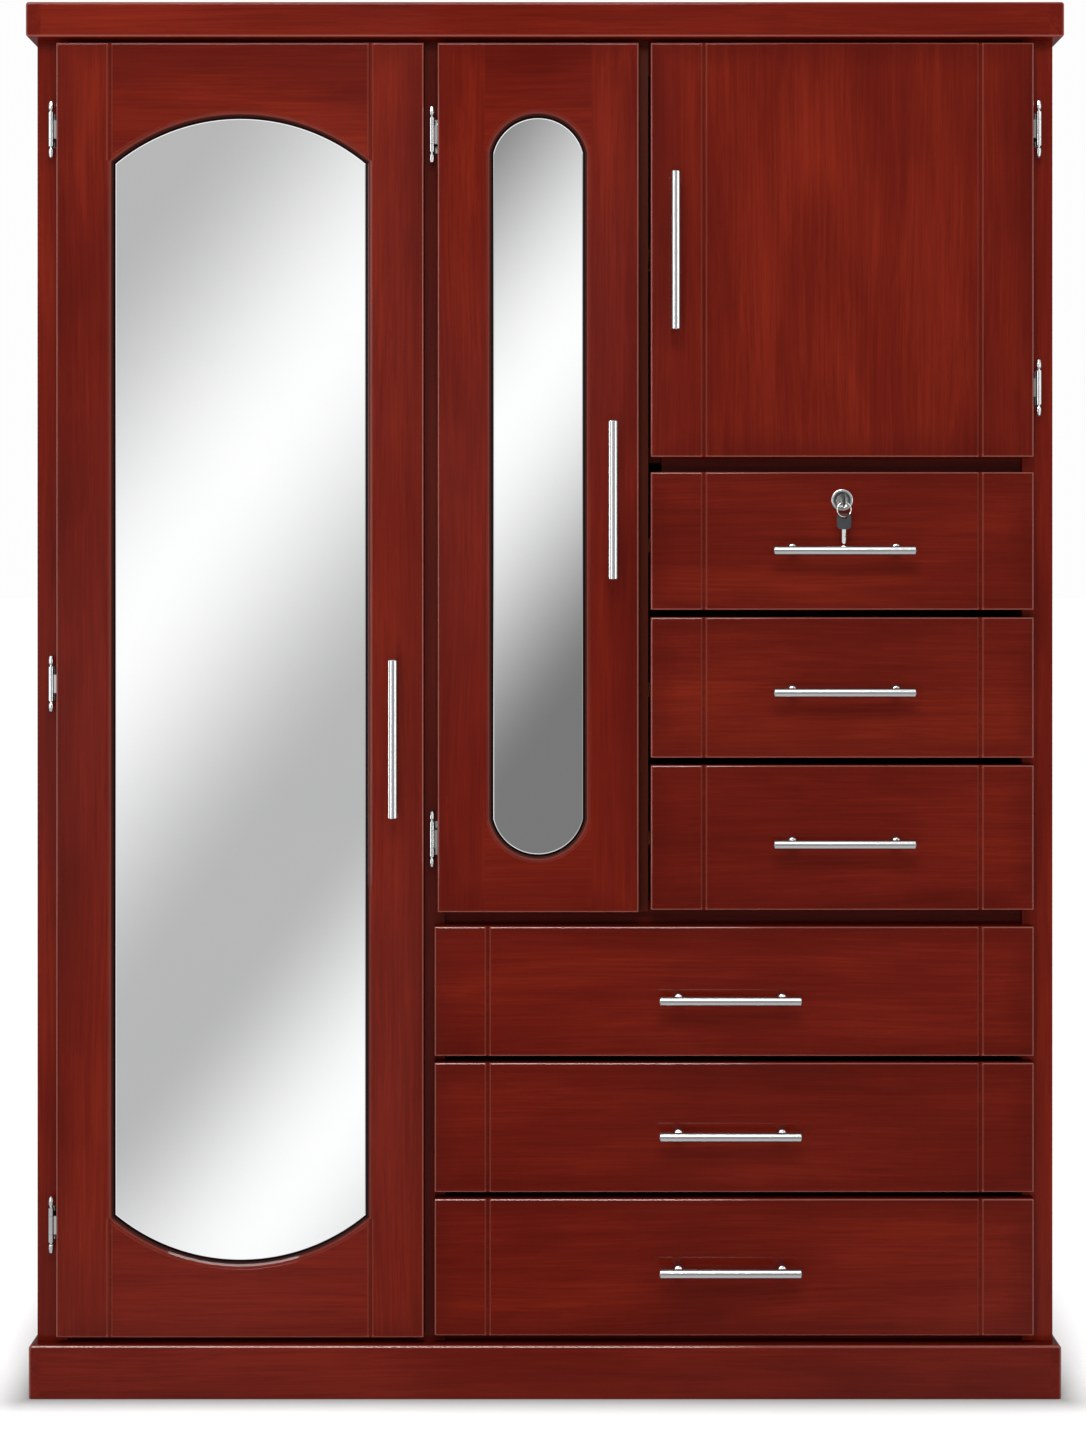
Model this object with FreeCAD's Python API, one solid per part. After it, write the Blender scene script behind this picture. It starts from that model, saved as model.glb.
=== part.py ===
"""Three-column mahogany armoire: mirrored doors, drawers, bar handles and a drawer lock.

Units are millimetres. +Z is up, the front faces -Y and +X is to the right.
The origin is the middle of the footprint of the whole piece, at floor level.
Places in depth are given as a distance behind the faces of the doors and drawers.
"""
import FreeCAD, Part
import math
import os

Vec = FreeCAD.Vector
X_AXIS = Vec(1, 0, 0)
Y_AXIS = Vec(0, 1, 0)
Z_AXIS = Vec(0, 0, 1)

# ---- overall sizes -------------------------------------------------------------
overall_height = 1830.0
case_width = 1339.0
body_depth = 540.0            # faces of the doors to the back of the case

# ---- plinth and cornice --------------------------------------------------------
plinth_height = 70.0
plinth_overhang = 7.5         # past each side of the case
plinth_proud = 2.5            # in front of the door faces
plinth_front_board = 45.0
plinth_board = 20.0
plinth_round = 5.0
cornice_height = 46.0
cornice_overhang = 10.5       # past each side of the case
cornice_proud = 5.5
cornice_board = 60.0
cornice_back_board = 40.0
cornice_round = 4.0
top_board_thickness = 18.0

# ---- face frame ----------------------------------------------------------------
front_thickness = 20.0        # doors and drawer fronts
bumper_gap = 1.0              # door backs to the face frame
stile_thickness = 20.0
outer_stile_width = 40.0
centre_stile_width = 36.0
rail_setback = 8.0            # rails behind the faces of the stiles
rail_thickness = 20.0
rail_lap = 12.0               # rail hidden behind the fronts on each side of a gap
top_rail_height = 45.0
upper_rail_hole = 18.0        # open end of the rail above the small drawers
upper_partition_gap = 2.3     # partition face to the edges of the right-hand fronts
partition_foot = 2.0          # partition front below the middle door's lower edge

# ---- case ----------------------------------------------------------------------
panel_thickness = 20.0        # sides and upright partitions
deck_thickness = 18.0
back_thickness = 6.0
back_inset = 3.0
back_rebate = 8.0
side_groove_inset = 70.0
shelf_setback = 12.0          # shelf fronts behind the rails
shelf_side_gap = 1.0
hat_shelf_drop = 284.0        # underside of the hat shelf below the top of the case
middle_shelf_count = 3
shelf_pin_radius = 2.5
shelf_pin_length = 18.0
shelf_pin_bite = 8.0          # pin inside the panel
shelf_pin_inset = 60.0

# ---- hanging rail --------------------------------------------------------------
rail_tube_radius = 12.5
rail_tube_wall = 1.5
rail_drop = 60.0              # tube centre below the hat shelf
socket_flange_radius = 24.0
socket_flange = 3.0
socket_cup_radius = 16.0
socket_cup_length = 14.0
tube_fit = 0.3

# ---- doors and drawer fronts ---------------------------------------------------
side_reveal = 28.5            # case side to the outer edges of the fronts
left_door_width = 482.0
middle_door_width = 264.0
left_middle_gap = 18.0
middle_right_gap = 15.5
wide_drawer_overlap = 4.0     # wide drawers reach further left than the middle door
door_top_gap = 6.5
door_bottom_gap = 9.5
drawer_bottom_gap = 12.0
wide_drawer_heights = [170.0, 170.0, 179.5]       # top to bottom
wide_drawer_gap = 8.5
small_drawer_heights = [181.0, 184.5, 190.0]      # top to bottom
small_drawer_gap = 9.5
lower_reveal = 18.5           # wide drawers to the middle door
small_drawer_lift = 3.0       # small drawers stand higher than the middle door's bottom
upper_reveal = 19.5           # small drawers to the right door
edge_round = 3.0

# ---- decorative grooves and mirror mouldings -----------------------------------
groove_inset = 70.0
groove_top_width = 8.5
groove_floor_width = 4.2
groove_depth = 2.5
left_mirror_width = 332.0
left_mirror_top = 97.0        # top of the glass below the top of the door
left_mirror_bottom = 98.0
left_arch_rise = 60.0
middle_mirror_width = 121.0
middle_mirror_top = 96.0
middle_mirror_bottom = 73.5
middle_arch_rise = 48.0
left_rail_lap = 5.0           # rail ends past the edge of the glass
middle_rail_lap = 9.6
moulding_steps = [(9.0, -1.0), (8.2, 1.0), (7.4, 1.3), (5.2, 2.2), (2.6, 4.2), (0.9, 7.0)]
glass_depth = 8.5
glass_thickness = 4.0
glass_rebate = 6.0
glass_play = 0.5
mirror_back_thickness = 4.0

# ---- hinges --------------------------------------------------------------------
hinge_edge_gap = 7.5          # pin to the door's edge
hinge_pin_depth = 7.0         # pin behind the door's face
hinge_knuckle_radius = 3.5
hinge_pin_radius = 1.8
hinge_bore_clearance = 0.05
hinge_barrel_length = 45.0
hinge_middle_knuckle = 24.0
hinge_knuckle_gap = 0.3
hinge_leaf = 2.0
hinge_plate_height = 44.0
hinge_foot_width = 14.0
hinge_neck_length = 3.5
hinge_finial_length = 12.0
hinge_finial_radius = 3.2
hinge_screw_spacing = 30.0
hinge_screw_radius = 1.6
hinge_screw_head_radius = 3.0
hinge_screw_length = 14.0
left_hinge_insets = (113.0, 146.0)                # from the door's top and bottom edges
middle_hinge_insets = (120.0, 95.5)
right_hinge_insets = (112.0, 91.5)
hinge_inset_share = 0.25      # an inset is at most this share of its door's height
third_hinge_drop = 8.5        # below the middle of the left door's other two

# ---- catches -------------------------------------------------------------------
catch_width = 45.0
catch_height = 14.0
catch_depth = 32.0
catch_air = 0.4
catch_inset = 60.0

# ---- bar handles ---------------------------------------------------------------
handle_bar_radius = 6.1
handle_post_radius = 5.5
drawer_post_rise = 3.8        # posts of the drawer handles above the middle of the bar
raised_post_setback = 3.0     # their rounded ends behind the middle of the bar
raised_post_round = 2.5
handle_standoff = 29.0        # face to the middle of the bar
handle_bar_chamfer = 0.8
door_handle_length = 206.0
door_handle_spacing = 158.0
drawer_handle_length = 184.0
drawer_handle_spacing = 135.0
left_handle_inset = 38.5      # bar centre from the door's free edge
middle_handle_inset = 34.0
right_handle_inset = 31.5
left_handle_drop = 62.5       # bar centre below the middle of the door
middle_handle_drop = 30.25
right_handle_drop = 4.25
small_handle_shift = -0.4     # bar centre from the middle of the drawer
wide_handle_shift = -7.0
handle_drops = [13.0, 5.5, 6.0, 8.0, 6.0, 0.0]    # bar below the middle of each drawer

# ---- drawer boxes and runners --------------------------------------------------
box_side = 16.0
box_back = 12.0
box_bottom = 6.0
box_bottom_rise = 10.0        # underside of the bottom panel above the lower edge
box_bottom_tongue = 6.0
box_back_gap = 56.0           # box to the back panel
box_side_gap = 5.0
box_rail_air = 4.0
box_headroom = 14.0
runner_height = 18.0
runner_back_gap = 50.0        # runner to the back panel
runner_bite = 7.0
runner_play = 0.5
runner_start_gap = 4.0

# ---- drawer lock ---------------------------------------------------------------
lock_drop = 37.0              # below the top of the drawer front
lock_rosette_radius = 14.3
lock_rosette = 2.2
lock_ring_width = 5.0
lock_body_radius = 9.3
lock_body_length = 34.0       # behind the drawer face
lock_plug_radius = 6.5
lock_plug_clearance = 0.05
lock_plug_recess = 0.5
keyway_play = 0.15
cam_thickness = 2.4
cam_width = 13.0
cam_reach = 34.0
cam_tip_radius = 5.0
cam_screw_radius = 4.0
cam_screw_head = 2.6
cam_slot_air = 1.8
cam_slot_half_width = 33.0

# ---- keys and ring -------------------------------------------------------------
key_blade_width = 5.0
key_blade_thickness = 2.0
key_blade_length = 15.0
key_shank = 4.0               # between the rosette and the bow
bow_width = 19.0
bow_length = 20.5
bow_thickness = 2.4
bow_corner = 5.5
bow_slot_width = 9.0
bow_slot_height = 4.0
bow_slot_edge = 2.6
ring_radius = 9.5
ring_wire = 0.6
ring_turn = 12.0
ring_slot_air = 1.1
spare_turn = -18.0
spare_slot_air = 1.65
bitting_depth = 1.4
bitting_start = 2.4           # first notch past the shank
bitting_pitch = 3.1
bitting_shares = [0.6, 1.0, 0.35, 0.8]
notch_floor_half = 0.4
notch_mouth_half = 1.3

# ---- worked-out places ---------------------------------------------------------
TINY = 0.01
handle_reach = handle_standoff + handle_bar_radius
overall_depth = body_depth + handle_reach
face_y = -overall_depth / 2 + handle_reach

case_half = case_width / 2
plinth_half = case_half + plinth_overhang
cornice_half = case_half + cornice_overhang
case_bottom = plinth_height
case_top = overall_height - cornice_height
front_edge = case_half - side_reveal

frame_depth = front_thickness + bumper_gap
stile_back = frame_depth + stile_thickness
rail_front = frame_depth + rail_setback
rail_back = rail_front + rail_thickness
back_front = body_depth - back_inset - back_thickness

left_door_x = (-front_edge, -front_edge + left_door_width)
middle_door_x = (left_door_x[1] + left_middle_gap,
                 left_door_x[1] + left_middle_gap + middle_door_width)
right_front_x = (middle_door_x[1] + middle_right_gap, front_edge)
wide_front_x = (middle_door_x[0] - wide_drawer_overlap, front_edge)

centre_stile_mid = left_door_x[1] + left_middle_gap / 2
centre_stile_x = (centre_stile_mid - centre_stile_width / 2,
                  centre_stile_mid + centre_stile_width / 2)
centre_partition_x = (centre_stile_mid - panel_thickness / 2,
                      centre_stile_mid + panel_thickness / 2)
upper_partition_right = right_front_x[0] - upper_partition_gap
upper_partition_x = (upper_partition_right - panel_thickness, upper_partition_right)
side_inner = case_half - panel_thickness
outer_stile_inner = case_half - outer_stile_width

door_top = case_top - door_top_gap
left_door_z = (case_bottom + door_bottom_gap, door_top)


def stack_down(top, heights, gap):
    """Low and high Z of fronts stacked downwards from a top edge."""
    places = []
    for height in heights:
        places.append((top - height, top))
        top -= height + gap
    return places


wide_stack = sum(wide_drawer_heights) + wide_drawer_gap * (len(wide_drawer_heights) - 1)
wide_top = case_bottom + drawer_bottom_gap + wide_stack
middle_door_z = (wide_top + lower_reveal, door_top)
small_stack = sum(small_drawer_heights) + small_drawer_gap * (len(small_drawer_heights) - 1)
small_top = middle_door_z[0] + small_drawer_lift + small_stack
right_door_z = (small_top + upper_reveal, door_top)
drawer_z = (stack_down(small_top, small_drawer_heights, small_drawer_gap)
            + stack_down(wide_top, wide_drawer_heights, wide_drawer_gap))
small_count = len(small_drawer_heights)

left_rail_z = (case_bottom, left_door_z[0] + rail_lap)
bottom_rail_z = (case_bottom, case_bottom + drawer_bottom_gap + rail_lap)
lower_rail_z = (wide_top - rail_lap, middle_door_z[0] + rail_lap)
upper_rail_z = (small_top - rail_lap, right_door_z[0] + rail_lap)
top_rail_z = (case_top - top_rail_height, case_top)
roof_bottom = case_top - deck_thickness
hat_shelf_height = case_top - hat_shelf_drop

lock_x = (right_front_x[0] + right_front_x[1]) / 2 + small_handle_shift
lock_z = small_top - lock_drop


# ---- shape helpers -------------------------------------------------------------
def block(x_span, depth_span, z_span):
    """A box from spans in X, in depth behind the door faces, and in Z."""
    corner = Vec(x_span[0], face_y + depth_span[0], z_span[0])
    return Part.makeBox(x_span[1] - x_span[0], depth_span[1] - depth_span[0],
                        z_span[1] - z_span[0], corner)


def rod(radius, length, base, direction):
    return Part.makeCylinder(radius, length, base, direction)


def extruded(points, direction):
    """A prism from a closed polygon."""
    outline = Part.makePolygon(points + [points[0]])
    return Part.Face(outline).extrude(direction)


def turned(profile, base):
    """A solid of revolution about a vertical line, from (radius, height) points."""
    points = [Vec(radius, 0, height) for radius, height in profile]
    outline = Part.makePolygon(points + [points[0]])
    shape = Part.Face(outline).revolve(Vec(0, 0, 0), Z_AXIS, 360)
    shape.translate(base)
    return shape


def mirrored(shape, plane_x):
    return shape.mirror(Vec(plane_x, 0, 0), X_AXIS)


def rounded(solid, radius, wanted):
    """Round every edge for which wanted(edge box) is true."""
    edges = [edge for edge in solid.Edges if wanted(edge.BoundBox)]
    return solid.makeFillet(radius, edges)


def save(node, shapes):
    """Write one node, made of one solid or of several separate ones."""
    solids = []
    for shape in shapes if isinstance(shapes, list) else [shapes]:
        solids.extend(shape.Solids)
    whole = solids[0] if len(solids) == 1 else Part.makeCompound(solids)
    whole.exportStep("parts/" + node + ".step")


# ---- fronts --------------------------------------------------------------------
def front_blank(x_span, z_span):
    """A door or drawer front with its front edges rounded over."""
    solid = block(x_span, (0, front_thickness), z_span)
    return rounded(solid, edge_round, lambda box: box.YMax < face_y + TINY)


def groove_cutter(x_middle, z_span):
    """A shallow upright groove with sloping walls and a flat floor."""
    half_top = groove_top_width / 2
    half_floor = groove_floor_width / 2
    slope = (half_top - half_floor) / groove_depth
    reach = half_top + slope
    points = [Vec(x_middle - reach, face_y - 1, z_span[0]),
              Vec(x_middle + reach, face_y - 1, z_span[0]),
              Vec(x_middle + half_floor, face_y + groove_depth, z_span[0]),
              Vec(x_middle - half_floor, face_y + groove_depth, z_span[0])]
    return extruded(points, Vec(0, 0, z_span[1] - z_span[0]))


def grooved_front(x_span, z_span):
    """A front with one upright groove near each end."""
    front = front_blank(x_span, z_span)
    for middle in (x_span[0] + groove_inset, x_span[1] - groove_inset):
        front = front.cut(groove_cutter(middle, z_span))
    return front


class ArchedOpening:
    """An opening with straight sides and a segmental arch at both ends."""

    def __init__(self, x_middle, width, z_low, z_high, rise):
        self.x_middle = x_middle
        self.half = width / 2
        self.radius = (self.half ** 2 + rise ** 2) / (2 * rise)
        self.top_centre = z_high - self.radius
        self.bottom_centre = z_low + self.radius

    def springing(self, grow):
        """Height of an arch's ends above its centre, for an outline grown all round."""
        radius = self.radius + grow
        half = self.half + grow
        return math.sqrt(max(radius ** 2 - half ** 2, 0.0))

    def outline(self, depth, grow):
        """The outline at a depth behind the face, grown all round by an offset."""
        left = self.x_middle - self.half - grow
        right = self.x_middle + self.half + grow
        radius = self.radius + grow
        rise = self.springing(grow)
        y = face_y + depth
        top_left = Vec(left, y, self.top_centre + rise)
        top_right = Vec(right, y, self.top_centre + rise)
        bottom_left = Vec(left, y, self.bottom_centre - rise)
        bottom_right = Vec(right, y, self.bottom_centre - rise)
        crown = Vec(self.x_middle, y, self.top_centre + radius)
        foot = Vec(self.x_middle, y, self.bottom_centre - radius)
        return Part.Wire([Part.LineSegment(bottom_left, top_left).toShape(),
                          Part.Arc(top_left, crown, top_right).toShape(),
                          Part.LineSegment(top_right, bottom_right).toShape(),
                          Part.Arc(bottom_right, foot, bottom_left).toShape()])

    def slab(self, depth_span, grow):
        """A flat piece of the outline's shape."""
        face = Part.Face(self.outline(depth_span[0], grow))
        return face.extrude(Vec(0, depth_span[1] - depth_span[0], 0))

    def taper(self, depth_span, grows):
        """A piece whose outline changes from front to back."""
        wires = [self.outline(depth, grow) for depth, grow in zip(depth_span, grows)]
        return Part.makeLoft(wires, True, True)


def mirror_frame(x_span, z_span, opening):
    """A whole door with a moulded opening and a rebate for glass behind it."""
    frame = front_blank(x_span, z_span)
    for (grow, depth), (next_grow, next_depth) in zip(moulding_steps, moulding_steps[1:]):
        frame = frame.cut(opening.taper((depth, next_depth), (grow, next_grow)))
    last_depth = moulding_steps[-1][1]
    frame = frame.cut(opening.slab((last_depth - TINY, front_thickness + 1), 0))
    return frame.cut(opening.slab((glass_depth, front_thickness + 1), glass_rebate))


def framed_door(x_span, z_span, opening, lap, with_grooves):
    """Stiles and rails of a mirror door, cut from one moulded frame."""
    frame = mirror_frame(x_span, z_span, opening)
    reach = opening.half + lap
    joint_x = (opening.x_middle - reach, opening.x_middle + reach)
    rise = opening.springing(lap)
    if with_grooves:
        for middle in joint_x:
            above = (opening.top_centre + rise, z_span[1])
            below = (z_span[0], opening.bottom_centre - rise)
            frame = frame.cut(groove_cutter(middle, above))
            frame = frame.cut(groove_cutter(middle, below))
    depths = (-1, front_thickness + 1)
    top_rail = block(joint_x, depths, (opening.top_centre + rise, z_span[1] + 1))
    bottom_rail = block(joint_x, depths, (z_span[0] - 1, opening.bottom_centre - rise))
    rails = [frame.common(top_rail), frame.common(bottom_rail)]
    stiles = frame.cut(top_rail).cut(bottom_rail)
    return stiles, rails


def mirror_sheets(opening):
    """The mirror glass and the board behind it, both seated in the rebate."""
    grow = glass_rebate - glass_play
    glass_back = glass_depth + glass_thickness
    glass = opening.slab((glass_depth, glass_back), grow)
    board = opening.slab((glass_back, glass_back + mirror_back_thickness), grow)
    return glass, board


# ---- hinges --------------------------------------------------------------------
# Each hinge is drawn with its pin on the Z axis, the door towards +X and the case
# towards +Y, then placed, and mirrored for a door hung on its right.
foot_front = frame_depth - hinge_pin_depth
plate_back = front_thickness - hinge_pin_depth


def local_box(x_span, y_span, z_span):
    return Part.makeBox(x_span[1] - x_span[0], y_span[1] - y_span[0],
                        z_span[1] - z_span[0], Vec(x_span[0], y_span[0], z_span[0]))


def upright(radius, half_height):
    return rod(radius, 2 * half_height, Vec(0, 0, -half_height), Z_AXIS)


def hinge_screw(base, direction):
    """A countersunk screw whose head is flush at its base."""
    head = Part.makeCone(hinge_screw_head_radius, hinge_screw_radius, hinge_leaf,
                         base, direction)
    shank = rod(hinge_screw_radius, hinge_screw_length, base, direction)
    return head.fuse(shank).removeSplitter()


def frame_leaf_screws():
    middle = hinge_leaf / 2 + (hinge_foot_width - hinge_leaf / 2) / 2
    return [hinge_screw(Vec(middle, foot_front, side * hinge_screw_spacing / 2), Y_AXIS)
            for side in (-1, 1)]


def door_leaf_screws():
    middle = plate_back / 2
    return [hinge_screw(Vec(hinge_edge_gap, middle, side * hinge_screw_spacing / 2), X_AXIS)
            for side in (-1, 1)]


def frame_leaf():
    """Cranked leaf on the case with the two outer knuckles."""
    half_leaf = hinge_leaf / 2
    half_plate = hinge_plate_height / 2
    half_barrel = hinge_barrel_length / 2
    web = local_box((-half_leaf, half_leaf), (0, foot_front + hinge_leaf),
                    (-half_plate, half_plate))
    foot = local_box((-half_leaf, hinge_foot_width), (foot_front, foot_front + hinge_leaf),
                     (-half_plate, half_plate))
    leaf = web.fuse(foot).fuse(upright(hinge_knuckle_radius, half_barrel))
    swept = upright(hinge_knuckle_radius + 2 * hinge_knuckle_gap,
                    hinge_middle_knuckle / 2 + hinge_knuckle_gap)
    leaf = leaf.cut(swept).cut(upright(hinge_pin_radius, half_barrel + 1))
    for screw in frame_leaf_screws():
        leaf = leaf.cut(screw)
    return leaf.removeSplitter()


def door_leaf():
    """Leaf let into the door's edge, with the middle knuckle."""
    half_leaf = hinge_leaf / 2
    half_plate = hinge_plate_height / 2
    half_knuckle = hinge_middle_knuckle / 2
    plate_x = (hinge_edge_gap, hinge_edge_gap + hinge_leaf)
    web = local_box((0, plate_x[1]), (-half_leaf, half_leaf), (-half_knuckle, half_knuckle))
    plate = local_box(plate_x, (-half_leaf, plate_back), (-half_plate, half_plate))
    leaf = web.fuse(upright(hinge_knuckle_radius, half_knuckle)).fuse(plate)
    bore = upright(hinge_pin_radius + hinge_bore_clearance, half_knuckle + 1)
    leaf = leaf.cut(bore)
    for screw in door_leaf_screws():
        leaf = leaf.cut(screw)
    return leaf.removeSplitter()


def hinge_pin():
    """Pin with a bullet finial at each end."""
    seat = hinge_barrel_length / 2
    neck = seat + hinge_neck_length
    end = neck + hinge_finial_length
    shoulder = neck + hinge_finial_length * 0.45
    point = neck + hinge_finial_length * 0.85
    half = [(0, seat), (hinge_pin_radius, seat), (hinge_pin_radius, neck - 1.2),
            (hinge_finial_radius * 0.8, neck - 0.6), (hinge_finial_radius, neck + 1.0),
            (hinge_finial_radius, shoulder), (hinge_finial_radius * 0.72, point), (0, end)]
    lower = [(radius, -height) for radius, height in reversed(half[1:])]
    return turned(lower + half[1:], Vec(0, 0, 0))


def frame_pocket():
    half = hinge_plate_height / 2
    return local_box((-hinge_leaf / 2, hinge_foot_width),
                     (foot_front, foot_front + hinge_leaf), (-half, half))


def door_pocket():
    half = hinge_plate_height / 2
    return local_box((hinge_edge_gap, hinge_edge_gap + hinge_leaf),
                     (-hinge_leaf / 2, plate_back), (-half, half))


def hung(shape, pin_x, height, right_hand):
    """Move a hinge piece to its pin, mirrored when the door hangs on its right."""
    placed = shape.mirror(Vec(0, 0, 0), X_AXIS) if right_hand else shape.copy()
    placed.translate(Vec(pin_x, face_y + hinge_pin_depth, height))
    return placed


left_pin_x = left_door_x[0] - hinge_edge_gap
middle_pin_x = middle_door_x[0] - hinge_edge_gap
right_pin_x = right_front_x[1] + hinge_edge_gap
hinge_sets = {"left_door": (left_pin_x, left_door_z, left_hinge_insets, False),
              "middle_door": (middle_pin_x, middle_door_z, middle_hinge_insets, False),
              "right_door": (right_pin_x, right_door_z, right_hinge_insets, True)}


def hinge_places(door):
    """Pin X, height and hand of every hinge on one door."""
    pin_x, z_span, insets, right_hand = hinge_sets[door]
    limit = hinge_inset_share * (z_span[1] - z_span[0])
    heights = [z_span[1] - min(insets[0], limit), z_span[0] + min(insets[1], limit)]
    if door == "left_door":
        heights.insert(1, sum(heights) / 2 - third_hinge_drop)
    return [(pin_x, height, right_hand) for height in heights]


def hinged(door, door_parts):
    """Let the door leaves and their screws into the parts that they are fixed to."""
    leaves = []
    for place in hinge_places(door):
        screws = [hung(screw, *place) for screw in door_leaf_screws()]
        pocket = hung(door_pocket(), *place)
        door_parts = door_parts.cut(pocket)
        for screw in screws:
            door_parts = door_parts.cut(screw)
        leaves.append(hung(door_leaf(), *place))
        leaves.extend(screws)
    return door_parts, leaves


# ---- handles -------------------------------------------------------------------
def round_bar(length, middle_x, middle_z, along):
    """The bar of a handle, its ends chamfered."""
    centre = Vec(middle_x, face_y - handle_standoff, middle_z)
    bar = rod(handle_bar_radius, length, centre - along * (length / 2), along)
    return bar.makeChamfer(handle_bar_chamfer, bar.Edges)


def door_handle(middle_x, middle_z):
    """An upright bar on two round posts that end at its middle."""
    bar = round_bar(door_handle_length, middle_x, middle_z, Z_AXIS)
    for side in (-1, 1):
        foot = Vec(middle_x, face_y, middle_z + side * door_handle_spacing / 2)
        bar = bar.fuse(rod(handle_post_radius, handle_standoff, foot, Y_AXIS * -1))
    return bar.removeSplitter()


def drawer_handle(middle_x, middle_z):
    """A level bar on two posts that stand a little higher than it does."""
    bar = round_bar(drawer_handle_length, middle_x, middle_z, X_AXIS)
    reach = handle_standoff - raised_post_setback
    for side in (-1, 1):
        foot = Vec(middle_x + side * drawer_handle_spacing / 2, face_y,
                   middle_z + drawer_post_rise)
        post = rod(handle_post_radius, reach, foot, Y_AXIS * -1)
        post = rounded(post, raised_post_round, lambda box: box.YMax < face_y - reach + TINY)
        bar = bar.fuse(post)
    return bar.removeSplitter()


# ---- case ----------------------------------------------------------------------
floor_z = (case_bottom, case_bottom + deck_thickness)
lower_deck_z = (lower_rail_z[1] - deck_thickness, lower_rail_z[1])
upper_deck_z = (upper_rail_z[1] - deck_thickness, upper_rail_z[1])
roof_z = (roof_bottom, case_top)
deck_depths = (rail_back, back_front)
case_z = (case_bottom, case_top)


def side_panel():
    """The left side, with upright grooves outside and a rebate for the back."""
    panel = block((-case_half, -side_inner), (stile_back, body_depth), case_z)
    panel = panel.cut(block((-side_inner - back_rebate, -side_inner),
                            (back_front, body_depth + 1), case_z))
    for depth in (frame_depth + side_groove_inset, body_depth - side_groove_inset):
        y = face_y + depth
        half_top = groove_top_width / 2
        half_floor = groove_floor_width / 2
        points = [Vec(-case_half, y - half_top, case_bottom),
                  Vec(-case_half, y + half_top, case_bottom),
                  Vec(-case_half + groove_depth, y + half_floor, case_bottom),
                  Vec(-case_half + groove_depth, y - half_floor, case_bottom)]
        panel = panel.cut(extruded(points, Vec(0, 0, case_z[1] - case_z[0])))
    return panel


def cam_slot():
    """Slot in the underside of the upper rail that the lock's cam turns up into."""
    slot_depths = (lock_body_length - cam_slot_air,
                   lock_body_length + cam_thickness + cam_screw_head + cam_slot_air)
    return block((lock_x - cam_slot_half_width, lock_x + cam_slot_half_width), slot_depths,
                 (upper_rail_z[0] - 1, lock_z + cam_reach + cam_slot_air))


def face_frame():
    """Upright stiles and the rails between them."""
    depths = (frame_depth, stile_back)
    stiles = [block((-case_half, -outer_stile_inner), depths, case_z),
              block(centre_stile_x, depths, case_z),
              block((outer_stile_inner, case_half), depths, case_z)]
    for door in ("left_door", "middle_door", "right_door"):
        for place in hinge_places(door):
            cutters = [hung(frame_pocket(), *place)]
            cutters += [hung(screw, *place) for screw in frame_leaf_screws()]
            for cutter in cutters:
                stiles = [stile.cut(cutter) for stile in stiles]
    rail_depths = (rail_front, rail_back)
    left_bay = (-outer_stile_inner, centre_stile_x[0])
    right_bay = (centre_stile_x[1], outer_stile_inner)
    rails = [block(left_bay, rail_depths, left_rail_z),
             block(left_bay, rail_depths, top_rail_z),
             block(right_bay, rail_depths, bottom_rail_z),
             block(right_bay, rail_depths, lower_rail_z),
             block((centre_stile_x[1], upper_partition_x[0]), rail_depths, top_rail_z),
             block((upper_partition_x[1], outer_stile_inner), rail_depths, top_rail_z)]
    upper_rail = block((upper_partition_x[1] + upper_rail_hole, outer_stile_inner),
                       rail_depths, upper_rail_z)
    rails.append(upper_rail.cut(cam_slot()))
    return stiles, rails


def decks():
    """Floor, the decks over the drawers, and the roof."""
    return [block((-side_inner, side_inner), deck_depths, floor_z),
            block((centre_partition_x[1], side_inner), deck_depths, lower_deck_z),
            block((upper_partition_x[1], side_inner), deck_depths, upper_deck_z),
            block((-side_inner, side_inner), deck_depths, roof_z)]


def partitions(fixed):
    """Upright panels, notched over the decks and rails that cross them."""
    centre = block(centre_partition_x, (stile_back, back_front), (floor_z[1], roof_z[0]))
    upper = block(upper_partition_x, (frame_depth, back_front),
                  (middle_door_z[0] - partition_foot, case_top))
    for piece in fixed:
        upper = upper.cut(piece)
        centre = centre.cut(piece)
    upper_solid = max(upper.Solids, key=lambda solid: solid.Volume)
    return [centre, upper_solid]


# ---- shelves -------------------------------------------------------------------
def shelf_bays():
    """X span and top height of the underside of every shelf."""
    left_bay = (-side_inner, centre_partition_x[0])
    middle_bay = (centre_partition_x[1], upper_partition_x[0])
    right_bay = (upper_partition_x[1], side_inner)
    clear = roof_z[0] - lower_deck_z[1]
    pitch = clear / (middle_shelf_count + 1)
    right_middle = (upper_deck_z[1] + roof_z[0]) / 2
    places = [(left_bay, hat_shelf_height), (right_bay, right_middle - deck_thickness / 2)]
    for number in range(1, middle_shelf_count + 1):
        places.append((middle_bay, lower_deck_z[1] + number * pitch))
    return places


def shelf_depths():
    return (rail_back + shelf_setback, back_front)


def shelf_boards():
    boards = []
    for (left, right), height in shelf_bays():
        span = (left + shelf_side_gap, right - shelf_side_gap)
        boards.append(block(span, shelf_depths(), (height, height + deck_thickness)))
    return boards


def shelf_pins():
    """Four pins under each shelf, let into the panels."""
    pins = []
    for (left, right), height in shelf_bays():
        z = height - shelf_pin_radius
        front, back = shelf_depths()
        for depth in (front + shelf_pin_inset, back - shelf_pin_inset):
            y = face_y + depth
            pins.append(rod(shelf_pin_radius, shelf_pin_length,
                            Vec(left - shelf_pin_bite, y, z), X_AXIS))
            pins.append(rod(shelf_pin_radius, shelf_pin_length,
                            Vec(right + shelf_pin_bite, y, z), X_AXIS * -1))
    return pins


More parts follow.
